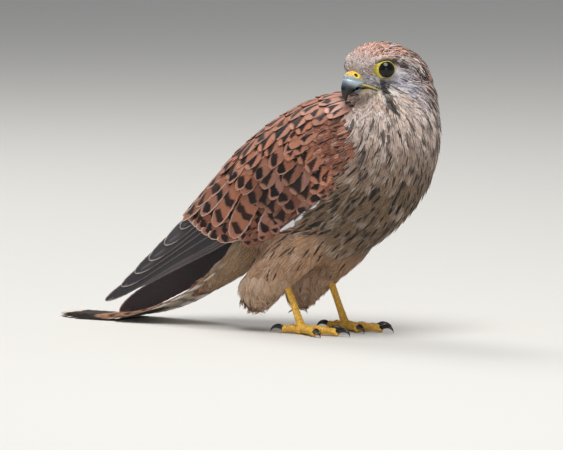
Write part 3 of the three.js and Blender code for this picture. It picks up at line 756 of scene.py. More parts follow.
def scatter(seed, spacing, keep, tries=90000, cell=3.0):
    """Places on the skin where keep says so, spacing apart as far as neighbouring cells reach: their points,
    normals and faces."""
    draw = np.random.default_rng(seed)
    me = skin.data
    areas = np.zeros(len(me.polygons), np.float32)
    me.polygons.foreach_get("area", areas)
    chosen = draw.choice(len(areas), tries, p=areas / areas.sum())
    corners = np.array([skin_faces[c][:3] for c in chosen])
    mix = draw.dirichlet([1, 1, 1], len(chosen))
    places = (skin_points[corners] * mix[..., None]).sum(1)
    normals = unit((skin_normals[corners] * mix[..., None]).sum(1))
    wanted = keep(places)
    places, normals, chosen = places[wanted], normals[wanted], chosen[wanted]
    grid, taken = {}, []
    around = list(itertools.product((-1, 0, 1), repeat=3))
    for i, p in enumerate(places):
        x, y, z = (int(v) for v in np.floor(p / cell))
        near = (places[j] for dx, dy, dz in around for j in grid.get((x + dx, y + dy, z + dz), ()))
        if all((p[0] - q[0]) ** 2 + (p[1] - q[1]) ** 2 + (p[2] - q[2]) ** 2 > spacing**2 for q in near):
            grid.setdefault((x, y, z), []).append(i)
            taken.append(i)
    return places[taken], normals[taken], chosen[taken]


def grow_paths(places, normals, length, depth, spin, loose, steps=5):
    """Each feather's middle line, creeping over the skin along the lie and rising from its root to its depth.
    A loose one leaves the skin and goes straight on."""
    def turned(p, n):
        way = lie(p, n)
        return unit(way * np.cos(spin)[:, None] + np.cross(n, way) * np.sin(spin)[:, None])

    p, n, free = places, normals, places
    way = turned(p, n)
    points, outs, ways = [p - n * 0.5], [n], [way]
    for k in range(1, steps + 1):
        at, nn = nearest_on_skin(p + way * (length / steps)[:, None])
        nn = unit(nn + n * 0.5)
        now = turned(at, nn)
        keep = (0.45 + 0.45 * loose)[:, None] if k > 1 else 0.55
        free = free + way * (length / steps)[:, None]
        away = np.clip(((free - at) * nn).sum(-1), 0, 9)
        way = unit(way * keep + now * (1 - keep))
        way = unit(way - nn * (way * nn).sum(-1, keepdims=True) * (1 - loose)[:, None])
        height = -0.5 + (depth + 0.5) * (k / steps) ** 0.8 + loose * away
        p, n = at, nn
        points.append(at + nn * height[:, None])
        outs.append(nn)
        ways.append(way)
    return np.stack(points, 1), np.stack(outs, 1), np.stack(ways, 1)


# A tuft's blade: where its rings and its tip are, and how wide a plain and a dark one are at the rings.
BLADE_T = np.array([0, 0.3, 0.6, 0.84, 1.0])
BLADE_WIDTH = np.array([0.7, 1.0, 0.95, 0.62])
STREAK_WIDTH = np.array([0.12, 0.55, 1.0, 0.62])
PIECE_LIMIT = 190000  # triangles of a piece of the coat


def blade_faces(count):
    """Faces of three-sided blades, each closed at its root and pointed at its tip."""
    rings = len(BLADE_WIDTH)
    quads = [[3 * r + k, 3 * r + (k + 1) % 3, 3 * r + 3 + (k + 1) % 3, 3 * r + 3 + k]
             for r in range(rings - 1) for k in range(3)]
    last = 3 * (rings - 1)
    tris = [[last + k, last + (k + 1) % 3, 3 * rings] for k in range(3)] + [[2, 1, 0]]
    start = (np.arange(count) * (3 * rings + 1))[:, None, None]
    return [(np.array(quads)[None] + start).reshape(-1, 4), (np.array(tris)[None] + start).reshape(-1, 3)]


def tufts(name, found, blades, length, half, depth, colour, streak, slot, seed, thick, spin, fringe,
          loose=0.0, vary=(0.07, 0.07), streak_wide=1.0):
    """Small soft feathers as bundles of tapering blades. streak, 0 to 1, is how dark each middle blade is."""
    places, normals, faces = found
    draw = np.random.default_rng(seed)
    n, m = len(places), blades
    length = length * draw.uniform(0.86, 1.14, n)
    half = half * draw.uniform(0.88, 1.12, n)
    depth = depth * draw.uniform(0.75, 1.2, n)
    lines = grow_paths(places, normals, length, depth, draw.normal(0, spin, n), loose + np.zeros(n))
    steps = lines[0].shape[1] - 1
    s = np.linspace(-1, 1, m)
    share = 1 - 0.3 * s**2 + draw.uniform(-0.07, 0.07, (n, m))
    t = share[..., None] * BLADE_T
    at = np.clip(t * steps, 0, steps - 1e-6)
    k = at.astype(int)
    w = (at - k)[..., None]
    row = np.arange(n)[:, None, None]
    c, out, way = (line[row, k] * (1 - w) + line[row, k + 1] * w for line in lines)
    out, way = unit(out), unit(way)
    across = np.cross(out, way)
    # each blade's place in the tuft
    of_blade, of_tuft = s[None, :, None], half[:, None, None]
    spread_at = 0.35 + 0.75 * np.sin(np.clip(t, 0, 1) * 2.2)
    offset = (of_blade + draw.normal(0, 0.06, (n, m, 1))) * of_tuft * spread_at
    lift = draw.uniform(-0.12, 0.14, (n, m, 1)) * t - 0.22 * of_blade**2 * of_tuft * 0.5
    strong = (streak[:, None] * (np.arange(m) == m // 2))[..., None]
    lift = lift + 0.2 * strong * t
    c = c + across * offset[..., None] + out * lift[..., None]
    streak_shape = STREAK_WIDTH * np.reshape(streak_wide + np.zeros(n), (n, 1, 1))
    shape = BLADE_WIDTH + strong * (streak_shape - BLADE_WIDTH)
    wide = (1.5 * half / (m - 1))[:, None, None] * shape * draw.uniform(0.85, 1.15, (n, m, 1))
    ring_c, ring_out, ring_across = c[:, :, :-1], out[:, :, :-1], across[:, :, :-1]
    left = ring_c - ring_across * wide[..., None]
    right = ring_c + ring_across * wide[..., None]
    top = ring_c + ring_out * (thick * shape)[..., None]
    rings = np.stack([left, right, top], 3).reshape(n, m, -1, 3)
    verts = np.concatenate([rings, c[:, :, -1:]], 2)
    # its colours, and its patch on the skin's unwrap
    along = np.concatenate([np.repeat(BLADE_T[:-1], 3), BLADE_T[-1:]])
    # Each tuft's and each blade's own tone, times painted shade that darkens each blade towards its root, under
    # the tufts that lie over it.
    shade = draw.normal(1, vary[0], (n, 1, 1)) * draw.normal(1, vary[1], (n, m, 1)) * (0.8 + 0.2 * along)
    rgb = colour[:, None, None, :] * (shade + fringe * smooth(along, 0.7, 1))[..., None]
    dark = strong * smooth(along, 0.12, 0.4) * (1 - 0.35 * smooth(along, 0.9, 1.0))
    rgb = rgb + (STREAK - rgb) * dark[..., None]
    uv = np.stack(np.broadcast_arrays(of_blade * 0.0015, (along - 0.5) * 0.003), -1)
    uv = uv + SKIN_UV[faces][:, None, None, :]
    uv = np.broadcast_to(uv, (n, m, len(along), 2))
    triangles = 2 * (len(along) - 2)
    chunks = max(1, math.ceil(n * m * triangles / PIECE_LIMIT))
    for i, part in enumerate(np.array_split(np.arange(n), chunks)):
        label = name if chunks == 1 else f"{name}_{i + 1}"
        ob = object_of(label, verts[part].reshape(-1, 3), blade_faces(len(part) * m))
        add_colours(ob, rgb[part].reshape(-1, 3))
        add_map(ob, "OFBake", uv[part].reshape(-1, 2))
        finish_piece(ob, MAT["coat"], slot)


# where the soft coat grows
EYE_REACH = 7.4  # how far from an eye's middle the feathers start


def eye_clear(p):
    eyes = [head_to_body([EYE["forward"], s * EYE["side"], EYE["up"]]) for s in (-1, 1)]
    return np.min([np.linalg.norm(p - eye, axis=-1) for eye in eyes], 0) > EYE_REACH


def in_horn(f, side, u, rows, grow):
    """Whether points lie within grow of a horn's cross-sections, taken as upright."""
    rows = np.array(rows)
    middle, half_wide, half_high = (np.interp(f, rows[:, 1], rows[:, k]) for k in (2, 3, 4))
    inside = (side / (half_wide + grow)) ** 2 + ((u - middle) / (half_high + grow)) ** 2 < 1
    return inside & (f > rows[0, 1] - 1)


def bill_clear(p):
    f, side, u = body_to_head(p).T
    near = in_horn(f, side, u, CERE, 0.3)
    near |= in_horn(f, side, u, UPPER_BILL[:3], 0.2) | in_horn(f, side, u, LOWER_BILL, 0.2)
    gape = segment_distance(np.stack([f, np.abs(side), u], -1), (18.6, 7.6, -6.8), (11, 12.6, -9.6)) < 0.75
    return ~(near | gape)


def on_body(p):
    return (regions(p)[3] <= 0.5) & soft_over_wing(p)[0] & (p[:, 2] > 12)


def on_shoulder(p):
    """Where the wing's smallest coverts grow, loose as down."""
    soft, winged, angle = soft_over_wing(p)
    y = p[:, 1]
    return winged & ~soft & (y < SHOULDER_REAR(angle)[:, 0]) & (angle < SCAPULAR_LINE(y)[:, 0] + 4)


def head_coat():
    place = body_to_head

    def on_head(p):
        return (regions(p)[3] > 0.5) & eye_clear(p) & bill_clear(p)

    def is_throat(p):
        f, side, u = place(p).T
        return (u < -8 - 0.25 * (f - 10)) & (f > -6)

    def between(rear, front):
        return lambda p: (place(p)[:, 0] > rear) & (place(p)[:, 0] <= front) & ~is_throat(p)

    bands = [
        # name, where, spacing, blades, length, half width, depth
        ("face", between(7, 99), 0.95, 3, 4.2, 0.55, 0.75),
        ("crown", between(-12, 7), 1.2, 3, 8.2, 0.75, 0.9),
        ("throat", is_throat, 1.35, 4, 9.5, 1.0, 1.1),
        ("nape", between(-99, -12), 1.6, 4, 13.0, 1.25, 1.4),
    ]
    for i, (name, where, spacing, blades, length, half, depth) in enumerate(bands):
        found = scatter(100 + i, spacing, lambda p, where=where: on_head(p) & where(p))
        p, n, _ = found
        colour, crown, eye_line, moustache = coat_colour(p + lie(p, n) * 0.55 * length)
        draw = np.random.default_rng(200 + i)
        f, side, u = place(p).T
        is_nape = name == "nape"
        chance = 0.16 + 0.25 * crown + 0.5 * eye_line + 0.5 * smooth(f, -4, -16) + 0.5 * moustache
        chance = chance - 0.14 * smooth(u, -8, -14) * smooth(f, -4, 4) * (1 - moustache)
        streak = (draw.random(len(p)) < chance) * draw.uniform(0.8 if is_nape else 0.45, 1.0, len(p))
        light = draw.random(len(p)) < lerp(0.24, 0.4, smooth(f, -4, -16)) - 0.14 * crown
        colour = blend(colour, srgb(240, 232, 230), light * (1 - 0.75 * moustache) * 0.65)
        size = lerp(0.6, 1.0, smooth(f, 21, 13)) * lerp(0.75, 1.0, smooth(np.abs(u - 12), 0, 8))
        tufts("coat_" + name, found, blades, length * size, half * lerp(1, size, 0.5), depth, colour, streak,
              "head_feathers", 300 + i, thick=0.13, spin=0.08, fringe=0.04,
              loose=0.25 if name in ("throat", "nape") else 0.05, vary=(0.07, 0.09),
              streak_wide=1.7 if is_nape else 0.95)


def body_coat():
    def is_vent(p):
        return regions(p)[4] > 0.5

    def band(low, high):
        return lambda p: (p[:, 2] > low) & (p[:, 2] <= high) & ~is_vent(p)

    groups = [
        # name, where, streaked spacing, plain spacing, blades, length, half width, depth, slot
        ("neck", band(114, 190), 4.4, 2.3, 7, 17.0, 2.0, 1.9, "breast_feathers"),
        ("breast", band(74, 114), 5.4, 3.0, 9, 20.0, 3.4, 2.3, "breast_feathers"),
        ("belly", band(46, 74), 8.5, 3.1, 9, 19.0, 3.4, 2.2, "breast_feathers"),
        ("leggings", band(0, 46), 11, 2.3, 9, 17.0, 2.6, 1.9, "breast_feathers"),
        ("vent", is_vent, 11, 3.0, 9, 20.0, 3.2, 1.5, "under_feathers"),
    ]
    for i, (name, where, streaked, plain, blades, length, half, depth, slot) in enumerate(groups):
        for kind, spacing in (("plain", plain), ("streaked", streaked)):
            is_plain = kind == "plain"
            found = scatter(400 + 10 * i + is_plain, spacing, lambda p: on_body(p) & where(p))
            p, n, _ = found
            if not len(p):
                continue
            y, z = p[:, 1], p[:, 2]
            f, side, u = body_to_head(p).T
            angle = wing_place(p)[1]
            near_wing = smooth(angle - LOWER_EDGE(y)[:, 0], -26, -8) * smooth(y, -46, -38) * smooth(y, 60, 40)
            shorter = (1 - 0.4 * smooth(z, 30, 18)) * lerp(0.72, 1, smooth(u, -20, -42))
            deep = depth * (1 - 0.75 * near_wing) * lerp(0.7, 1, smooth(u, -20, -42))
            shared = dict(slot=slot, seed=500 + 10 * i + is_plain, thick=0.13, spin=0.12, fringe=0.03,
                          loose=(0.2 + 0.7 * smooth(z, 42, 26) * (name != "vent")) * (1 - near_wing))
            colour = coat_colour(p + lie(p, n) * 0.55 * length)[0]
            draw = np.random.default_rng(50 + i)
            if is_plain:
                light = (draw.random(len(p)) < 0.24) * lerp(0.22, 0.7, smooth(z, 112, 136))
                colour = blend(colour, srgb(236, 222, 212), light)
                grey = (draw.random(len(p)) < 0.16) * smooth(z, 118, 136)
                colour = blend(colour, srgb(112, 100, 98), grey * 0.6)
                tufts(f"coat_{name}_plain", found, blades, length * shorter, half * shorter, deep, colour,
                      0 * light, vary=(0.07, 0.06), **shared)
                continue
            beside_throat = smooth(np.linalg.norm(np.stack([f - 8, side], -1), axis=-1), 8, 15)
            streak = np.maximum(beside_throat, smooth(z, 136, 126)) * draw.uniform(0.75, 1.0, len(p))
            streak = streak * (draw.random(len(p)) > 0.8 * np.maximum(smooth(y, 14, 30), smooth(z, 62, 50)))
            drop = smooth(z, 122, 100) * smooth(z, 62, 76)
            wide = lerp(1.0, 1.8, drop) * draw.uniform(0.7, 1.15, len(p))
            tufts(f"coat_{name}_streaked", found, 5, length * 0.95 * shorter, half * 0.6 * shorter,
                  deep + 0.4, colour, streak, vary=(0.06, 0.05), streak_wide=wide, **shared)


def fluff_coat():
    """Long loose wisps under and behind the thighs, and between the legs."""
    found = scatter(700, 2.4, lambda p: (regions(p)[4] < 0.5) & (p[:, 2] > 15) & (p[:, 2] < 38))
    p = found[0]
    pale = np.random.default_rng(701).uniform(0.1, 0.4, len(p))
    colour = blend(coat_colour(p)[0], srgb(240, 218, 196), pale)
    short = lerp(0.7, 1, smooth(p[:, 2], 16, 28))
    tufts("coat_fluff", found, 8, 14.0 * short, 2.1, 2.6 * short, colour, 0 * short, "breast_feathers", 702,
          thick=0.07, spin=0.16, fringe=0.05, loose=0.65, vary=(0.05, 0.05))


def streak_coat():
    """Long thin dark streaks down the neck and the upper breast."""
    def on_breast(p):
        f, side, u = body_to_head(p).T
        return on_body(p) & (np.hypot(f - 8, side) > 13) & (p[:, 2] > 90) & (p[:, 2] < 142)

    found = scatter(720, 6.4, on_breast)
    p = found[0]
    dark = blend(all_over(STREAK, p), coat_colour(p)[0], 0.15)
    half = lerp(0.62, 0.4, smooth(p[:, 2], 112, 136))
    tufts("coat_long_streaks", found, 2, 20.0, half, 2.8, dark, np.zeros(len(p)), "breast_feathers", 721,
          thick=0.12, spin=0.12, fringe=0.0, loose=0.05, vary=(0.02, 0.02))


def shoulder_coat():
    """The loose, hair-fine small coverts at the front of the wings."""
    for kind, spacing, dark in (("plain", 1.7, 0), ("spotted", 5.5, 1)):
        found = scatter(640 + dark, spacing, on_shoulder)
        p = found[0]
        draw = np.random.default_rng(650 + dark)
        colour = blend(all_over(RUFOUS, p), RUFOUS_DEEP, draw.random(len(p)) * 0.9)
        colour = blend(colour, RUFOUS_PALE, (draw.random(len(p)) < 0.25) * 0.5)
        tufts("coat_shoulders_" + kind, found, 6, 9.5, 1.5, 2.3 + 0.3 * dark, colour,
              np.full(len(p), 0.95 * dark), "rufous_feathers", 660 + dark, thick=0.12, spin=0.2, fringe=0.08,
              streak_wide=1.6)


head_coat()
body_coat()
fluff_coat()
streak_coat()
shoulder_coat()


# vanes of the wings and tail
def vane_faces(rows, columns):
    """Faces of a closed vane whose upper grid of points is followed by its lower one."""
    i, j = np.meshgrid(np.arange(rows - 1), np.arange(columns - 1), indexing="ij")
    a = (i * columns + j).ravel()
    upper = np.stack([a, a + columns, a + columns + 1, a + 1], -1)
    under = rows * columns
    lower = upper[:, ::-1] + under
    rim = np.concatenate([
        np.arange(columns - 1),
        np.arange(rows - 1) * columns + columns - 1,
        (rows - 1) * columns + np.arange(columns - 1, 0, -1),
        np.arange(rows - 1, 0, -1) * columns,
    ])
    after = np.roll(rim, -1)
    edge = np.stack([rim, after, after + under, rim + under], -1)
    return np.concatenate([upper, lower, edge])


# Each kind of vane: its half width at the root, where it is fully wide, where its tip begins and how long it
# is, as shares of its length, and how blunt the tip is.
VANE_SHAPES = {
    "leaf": (0.45, 0.45, 0.56, 0.44, 2.1),
    "long": (0.5, 0.35, 0.8, 0.2, 2.2),
    "tail": (0.35, 0.6, 0.94, 0.06, 2.4),
    "pointed": (0.4, 0.5, 0.5, 0.5, 1.7),
}


def outline(kind, t):
    """Half width along a vane, as a share of its widest."""
    root, full, tip, run, blunt = VANE_SHAPES[kind]
    rounded = np.clip(1 - np.clip((t - tip) / run, 0, 1) ** blunt, 0.0012, 1)
    return lerp(root, 1, smooth(t, 0, full)) * np.sqrt(rounded)


class Vanes:
    """Gathers vanes that share a piece. cells is how many patches lie side by side on its map."""

    def __init__(self, name, slot, replaces=(), cells=16):
        self.name, self.slot, self.replaces, self.cells = name, slot, replaces, cells
        self.points, self.faces, self.colours, self.atlas, self.barbs = [], [], [], [], []
        self.start = self.count = 0

    def add(self, spot, length, half, paint, draw, kind="leaf", rise=(-1.5, 0.6), thick=0.25, camber=0.6,
            cell=1.0, roll=0.0, ragged=0.03):
        """spot(t, across, out) gives places; paint(d, side, edge, t, a, draw, under) gives colours. t runs from
        root to tip and a from edge to edge, as shares; d, side and edge are distances from the tip, the shaft
        and the nearest edge."""
        rows = int(np.clip(length / cell, 8, 120)) + 1
        columns = int(np.clip(2 * half / cell, 6, 26)) + 1
        t = np.linspace(0, 1, rows)
        t = t + 0.1 * np.sin(np.pi * t) * t
        a = np.linspace(-1, 1, columns)
        a = np.sign(a) * (1 - (1 - np.abs(a)) ** 1.15)
        t, a = np.meshgrid(t / t[-1], a, indexing="ij")
        wobble = 1 + ragged * np.sin(t * length * 1.3 + draw.uniform(0, 6)) * np.abs(a) ** 3
        width = half * outline(kind, t)
        across = a * width * wobble
        bow = camber * (1 - a**2) * np.sin(np.pi * np.clip(t * 0.9 + 0.1, 0, 1)) ** 0.5
        ripple = 0.06 * np.sin((t * length * 0.9 - np.abs(across)) * 1.1 + draw.uniform(0, 6))
        out = lerp(rise[0], rise[1], t) + bow + ripple - roll * a * np.minimum(1, 2 * t)
        shaft = np.exp(-((across / 0.45) ** 2)) * 0.12 * (1 - t)
        faded = np.minimum(1, outline(kind, t) * 4)
        upper = spot(t, across, out + shaft + thick * faded)
        lower = spot(t, across, out)
        d = (1 - t) * length
        edge = np.minimum((1 - np.abs(a)) * width, d)
        colours = [paint(d, across, edge, t, a, draw, under) for under in (False, True)]
        self.points += [upper.reshape(-1, 3), lower.reshape(-1, 3)]
        self.faces.append(vane_faces(rows, columns) + self.start)
        self.colours += [c.reshape(-1, 3) for c in colours]
        cx, cy = self.count % self.cells, self.count // self.cells
        place = np.stack([(cx + 0.5 + 0.46 * a) / self.cells, (cy + 0.5 + 0.92 * (t - 0.5)) / self.cells], -1)
        self.atlas += [place.reshape(-1, 2)] * 2
        barb = np.stack([t * length - np.abs(across) * 1.3, np.abs(across) + 40 * self.count], -1)
        self.barbs += [barb.reshape(-1, 2)] * 2
        self.start += 2 * rows * columns
        self.count += 1

    def finish(self):
        ob = object_of(self.name, np.concatenate(self.points), [np.concatenate(self.faces)])
        add_colours(ob, np.concatenate(self.colours))
        add_map(ob, "OFBake", np.concatenate(self.atlas))
        add_map(ob, "Vane", np.concatenate(self.barbs))
        finish_piece(ob, MAT["vane"], self.slot, self.replaces)


MM_PER_DEGREE = 0.7  # round the wing


def cos_and_sin(degrees):
    return math.cos(math.radians(degrees)), math.sin(math.radians(degrees))


def on_wing(wing, root, tip):
    """Places of a feather on the wing's shell. root and tip are each a y and an angle."""
    def spot(t, across, out):
        return wing.point(lerp(root[0], tip[0], t), lerp(root[1], tip[1], t), across, out)
    return spot


def wing_tip_blade(wing, root, tip):
    """Places of a long flat flight feather in the folded wing. root and tip are each a y and a height."""
    rise = (tip[1] - root[1]) / (tip[0] - root[0])
    c = 1 / math.hypot(1, rise)

    def spot(t, across, out):
        y = lerp(root[0], tip[0], t) - across * rise * c
        z = lerp(root[1], tip[1], t) + across * c
        middle, height, wide, high = (SHELL(y)[..., k] for k in range(4))
        up = (z - height) / high
        round_side = wide * np.sqrt(1 - np.minimum(up**2, 0.8)) - middle
        flat_side = wide * 0.95 - middle - 0.3 * (z - height)
        x = lerp(round_side, flat_side, smooth(y, 70, 105))
        return np.stack([wing.side * (x + out), y, z - wing.sag(y)], -1)
    return spot


def slanted(wing, tip, slant, length, bend=0.0):
    """Places of a feather that points rearwards and, by slant degrees, down round the wing."""
    c, s = cos_and_sin(slant)

    def spot(t, across, out):
        back = (1 - t) * length
        across = across + bend * (1 - t) ** 2
        return wing.point(tip[0] - back * c + across * s, tip[1] + back * s / MM_PER_DEGREE, across * c, out)
    return spot


def toned(base, d, draw):
    return np.broadcast_to(base * draw.tone, d.shape + (3,))


def plain_vane(base, d, edge, side, t, draw, fringe):
    """An unmarked feather in its own tone, with a worn pale fringe, a dark shaft and painted shade towards its
    root.
    """
    hue = blend(base, srgb(150, 92, 66), smooth(draw.kept[0], 0.5, 1.0) * 0.55)
    hue = blend(hue, srgb(190, 146, 130), smooth(draw.kept[0], 0.45, 0.0) * 0.4)
    return layered(
        toned(hue, d, draw),
        (RUFOUS_PALE * draw.tone, smooth(d, 8, 0) * 0.25),
        # Painted shade: darker towards the root, under the feathers that overlap it.
        (RUFOUS_DEEP * 0.8, smooth(t, 0.5, 0.1) * 0.5),
        (FRINGE, smooth(edge, fringe, fringe * 0.3) * lerp(0.1, 0.62, smooth(t, 0.6, 0.97)) * draw.wear),
        (DARK, smooth(np.abs(side), 0.4, 0.1) * 0.3 * smooth(d, 1, 4)),
    )


def spotted(base, mark, mark_half, fringe, chance=1.0):
    """A rufous covert with a dark arrowhead, its broad end near the tip and its point towards the root. mark
    is how far from the tip it starts and ends."""
    def paint(d, side, edge, t, a, draw, under):
        near, far = mark[0] * lerp(0.8, 1.2, draw.kept[0]), mark[1] * lerp(0.85, 1.2, draw.kept[1])
        half = mark_half * lerp(0.75, 1.25, draw.kept[2])
        lean = lerp(-0.5, 0.2, draw.kept[3])
        at = (d + lean * side + 0.09 * side**2 - near) / (far - near)
        reach = half * (1 - 0.25 * np.sin(side * 0.9 + draw.phase)) * np.clip(1 - at, 0, 1) ** 0.8
        inside = smooth(np.abs(side + 0.2 * lean * d) - reach, 0.35, -0.35)
        inside = inside * smooth(at, -0.07, 0.07) * smooth(at, 1.05, 0.85)
        behind = np.abs(d + (0.5 + lean) * np.abs(side) - (far + 5.0) + 0.5 * np.sin(side * 1.2 + draw.phase))
        return layered(
            plain_vane(base, d, edge, side, t, draw, fringe),
            (DARK, inside * draw.ink * (draw.phase / 6.3 < chance)),
            (DARK, smooth(behind, 2.4, 1.5) * smooth(edge, 0.5, 1.3) * draw.ink),
        )
    return paint


def barred(base, first, pitch, bar, chevron=0.45, fringe=0.8, lean=-0.35):
    """Wide dark bars right across, bent towards the root at the sides. The last one is a drop."""
    def paint(d, side, edge, t, a, draw, under):
        wave = 0.55 * np.sin(side * 0.9 + draw.phase) + (lean + 0.25 * (draw.kept[3] - 0.5)) * side
        place = d - chevron * (1 - np.exp(-np.abs(side) / 2)) * 2 - first + draw.shift + wave
        off = np.abs((place + pitch / 2) % pitch - pitch / 2)
        drop = bar * 0.62 * np.clip(1.25 - np.abs(side) / 4.4, 0, 1)
        half = np.where(place < pitch / 2, drop, bar / 2)
        ink = smooth(off - half, 0.35, -0.35) * smooth(edge, 0.4, 1.2)
        ink = ink * smooth(place, -pitch / 2, -pitch / 2 + 0.5)
        return blend(plain_vane(base, d, edge, side, t, draw, fringe), DARK, ink * draw.ink)
    return paint


def pale_rim(paint, share):
    """The same feather with a worn, nearly white rim round its end."""
    def rimmed(d, side, edge, t, a, draw, under):
        rim = smooth(edge, 1.0, 0.4) * smooth(d, 24, 10)
        return blend(paint(d, side, edge, t, a, draw, under), srgb(236, 220, 208), rim * share)
    return rimmed


def slate(d, side, edge, t, a, draw, under):
    """Nearly black, with a pale shaft and, near the tip, a thin white rim."""
    rim = smooth(edge, 0.8, 0.3) * smooth(t, 0.88, 0.95)
    return layered(
        toned(SLATE * 1.15 if under else SLATE, d, draw),
        (srgb(150, 140, 136), smooth(edge, 0.5, 0.1) * 0.45),
        (srgb(226, 214, 212), np.maximum(rim, smooth(d, 1.2, 0.4)) * 0.8),
        (SLATE_PALE, smooth(np.abs(side + 1.2), 0.34, 0.1) * 0.5),
    )


def alula(d, side, edge, t, a, draw, under):
    """Slate, with a white lower edge."""
    return blend(toned(SLATE, d, draw), srgb(232, 230, 234), smooth(a, 0.75, 0.4) * smooth(t, 0.15, 0.3))


class Draw:
    """One vane's own tone, depth of ink, shift, wear, phase and shares."""

    def __init__(self, generator):
        self.uniform = generator.uniform
        self.tone = float(np.clip(generator.normal(1, 0.12), 0.74, 1.26))
        self.ink = float(generator.uniform(0.92, 1.0))
        self.shift = float(generator.uniform(-1.5, 1.5))
        self.wear = float(generator.uniform(0.1, 1.0)) ** 1.3
        self.phase = float(generator.uniform(0, 6.3))
        self.kept = generator.random(4)


def lattice(draws, inside, wide, long, slant):
    """Staggered, jittered places y and angle of feather tips."""
    c, s = cos_and_sin(slant)
    found = []
    for j in range(-16, 17):
        for i in range(-26, 27):
            step = (i + 0.5 * (j % 2)) * wide
            jitter = draws.normal(0, 0.13 * wide, 2)
            y = 20 + step * s + j * long * c + jitter[0]
            angle = 20 + (step * c - j * long * s + jitter[1]) / MM_PER_DEGREE
            if inside(y, angle):
                found.append((y, angle))
    return found


def edge_of(curve, place):
    return float(curve(place)[0])


def on_scapulars(y, angle):
    return edge_of(SCAPULAR_LINE, y) < angle < 93 and edge_of(FRONT_EDGE, angle) + 1 < y < 66


def on_coverts(y, angle):
    return edge_of(LOWER_EDGE, y) < angle < edge_of(SCAPULAR_LINE, y) + 2


def on_middle_coverts(y, angle):
    return on_coverts(y, angle) and -1 < y - edge_of(SHOULDER_REAR, angle) < 15


def on_great_coverts(y, angle):
    return on_coverts(y, angle) and edge_of(SHOULDER_REAR, angle) + 15 <= y < 41 + 0.5 * angle


# The long inner feathers over the wing's rear: the tip's y and angle, the slant, length and half width.
TERTIALS = [
    (29, -46, 40, 34, 6.2), (50, -36, 46, 48, 7.4), (62, -14, 48, 48, 7.4), (73, 8, 34, 46, 7.2),
    (66, 22, 40, 38, 6.6), (80, 30, 18, 40, 7.2), (92, 33, 12, 46, 7.6), (74, 46, 14, 34, 7.4),
    (86, 52, 8, 40, 7.8), (96, 58, 5, 44, 8.0), (78, 68, 5, 34, 8.2), (88, 76, 3, 40, 8.4),
    (70, 84, 2, 32, 8.4),
]
# The long outer flight feathers: the root's height, the tip's y and height, and the half width. The last ones
# of the left wing are broader, as they are fanned a little.
FIRST_PRIMARIES = [(122, 98, 61, 5.5), (118, 111, 50, 5.5)]
PRIMARIES = {
    "right": FIRST_PRIMARIES + [
        (112, 124, 39.5, 5.5), (105, 136, 30.5, 5.3), (97, 147, 21.5, 5.0), (88, 160, 11.7, 4.6),
        (85, 152, 15.5, 4.3), (82, 140, 20.5, 4.2)],
    "left": FIRST_PRIMARIES + [
        (112, 122, 40, 5.5), (105, 132, 31, 5.5), (97, 141, 23, 5.7), (88, 149, 17, 5.9), (82, 155, 13, 6.0),
        (76, 161, 9.6, 7.2)],
}
# The thumb's feathers: the tip's y and angle, the length and the half width.
ALULA = [(-6, -41.5, 24, 3.2), (5, -44.5, 26, 2.8), (14, -46.5, 24, 2.2)]


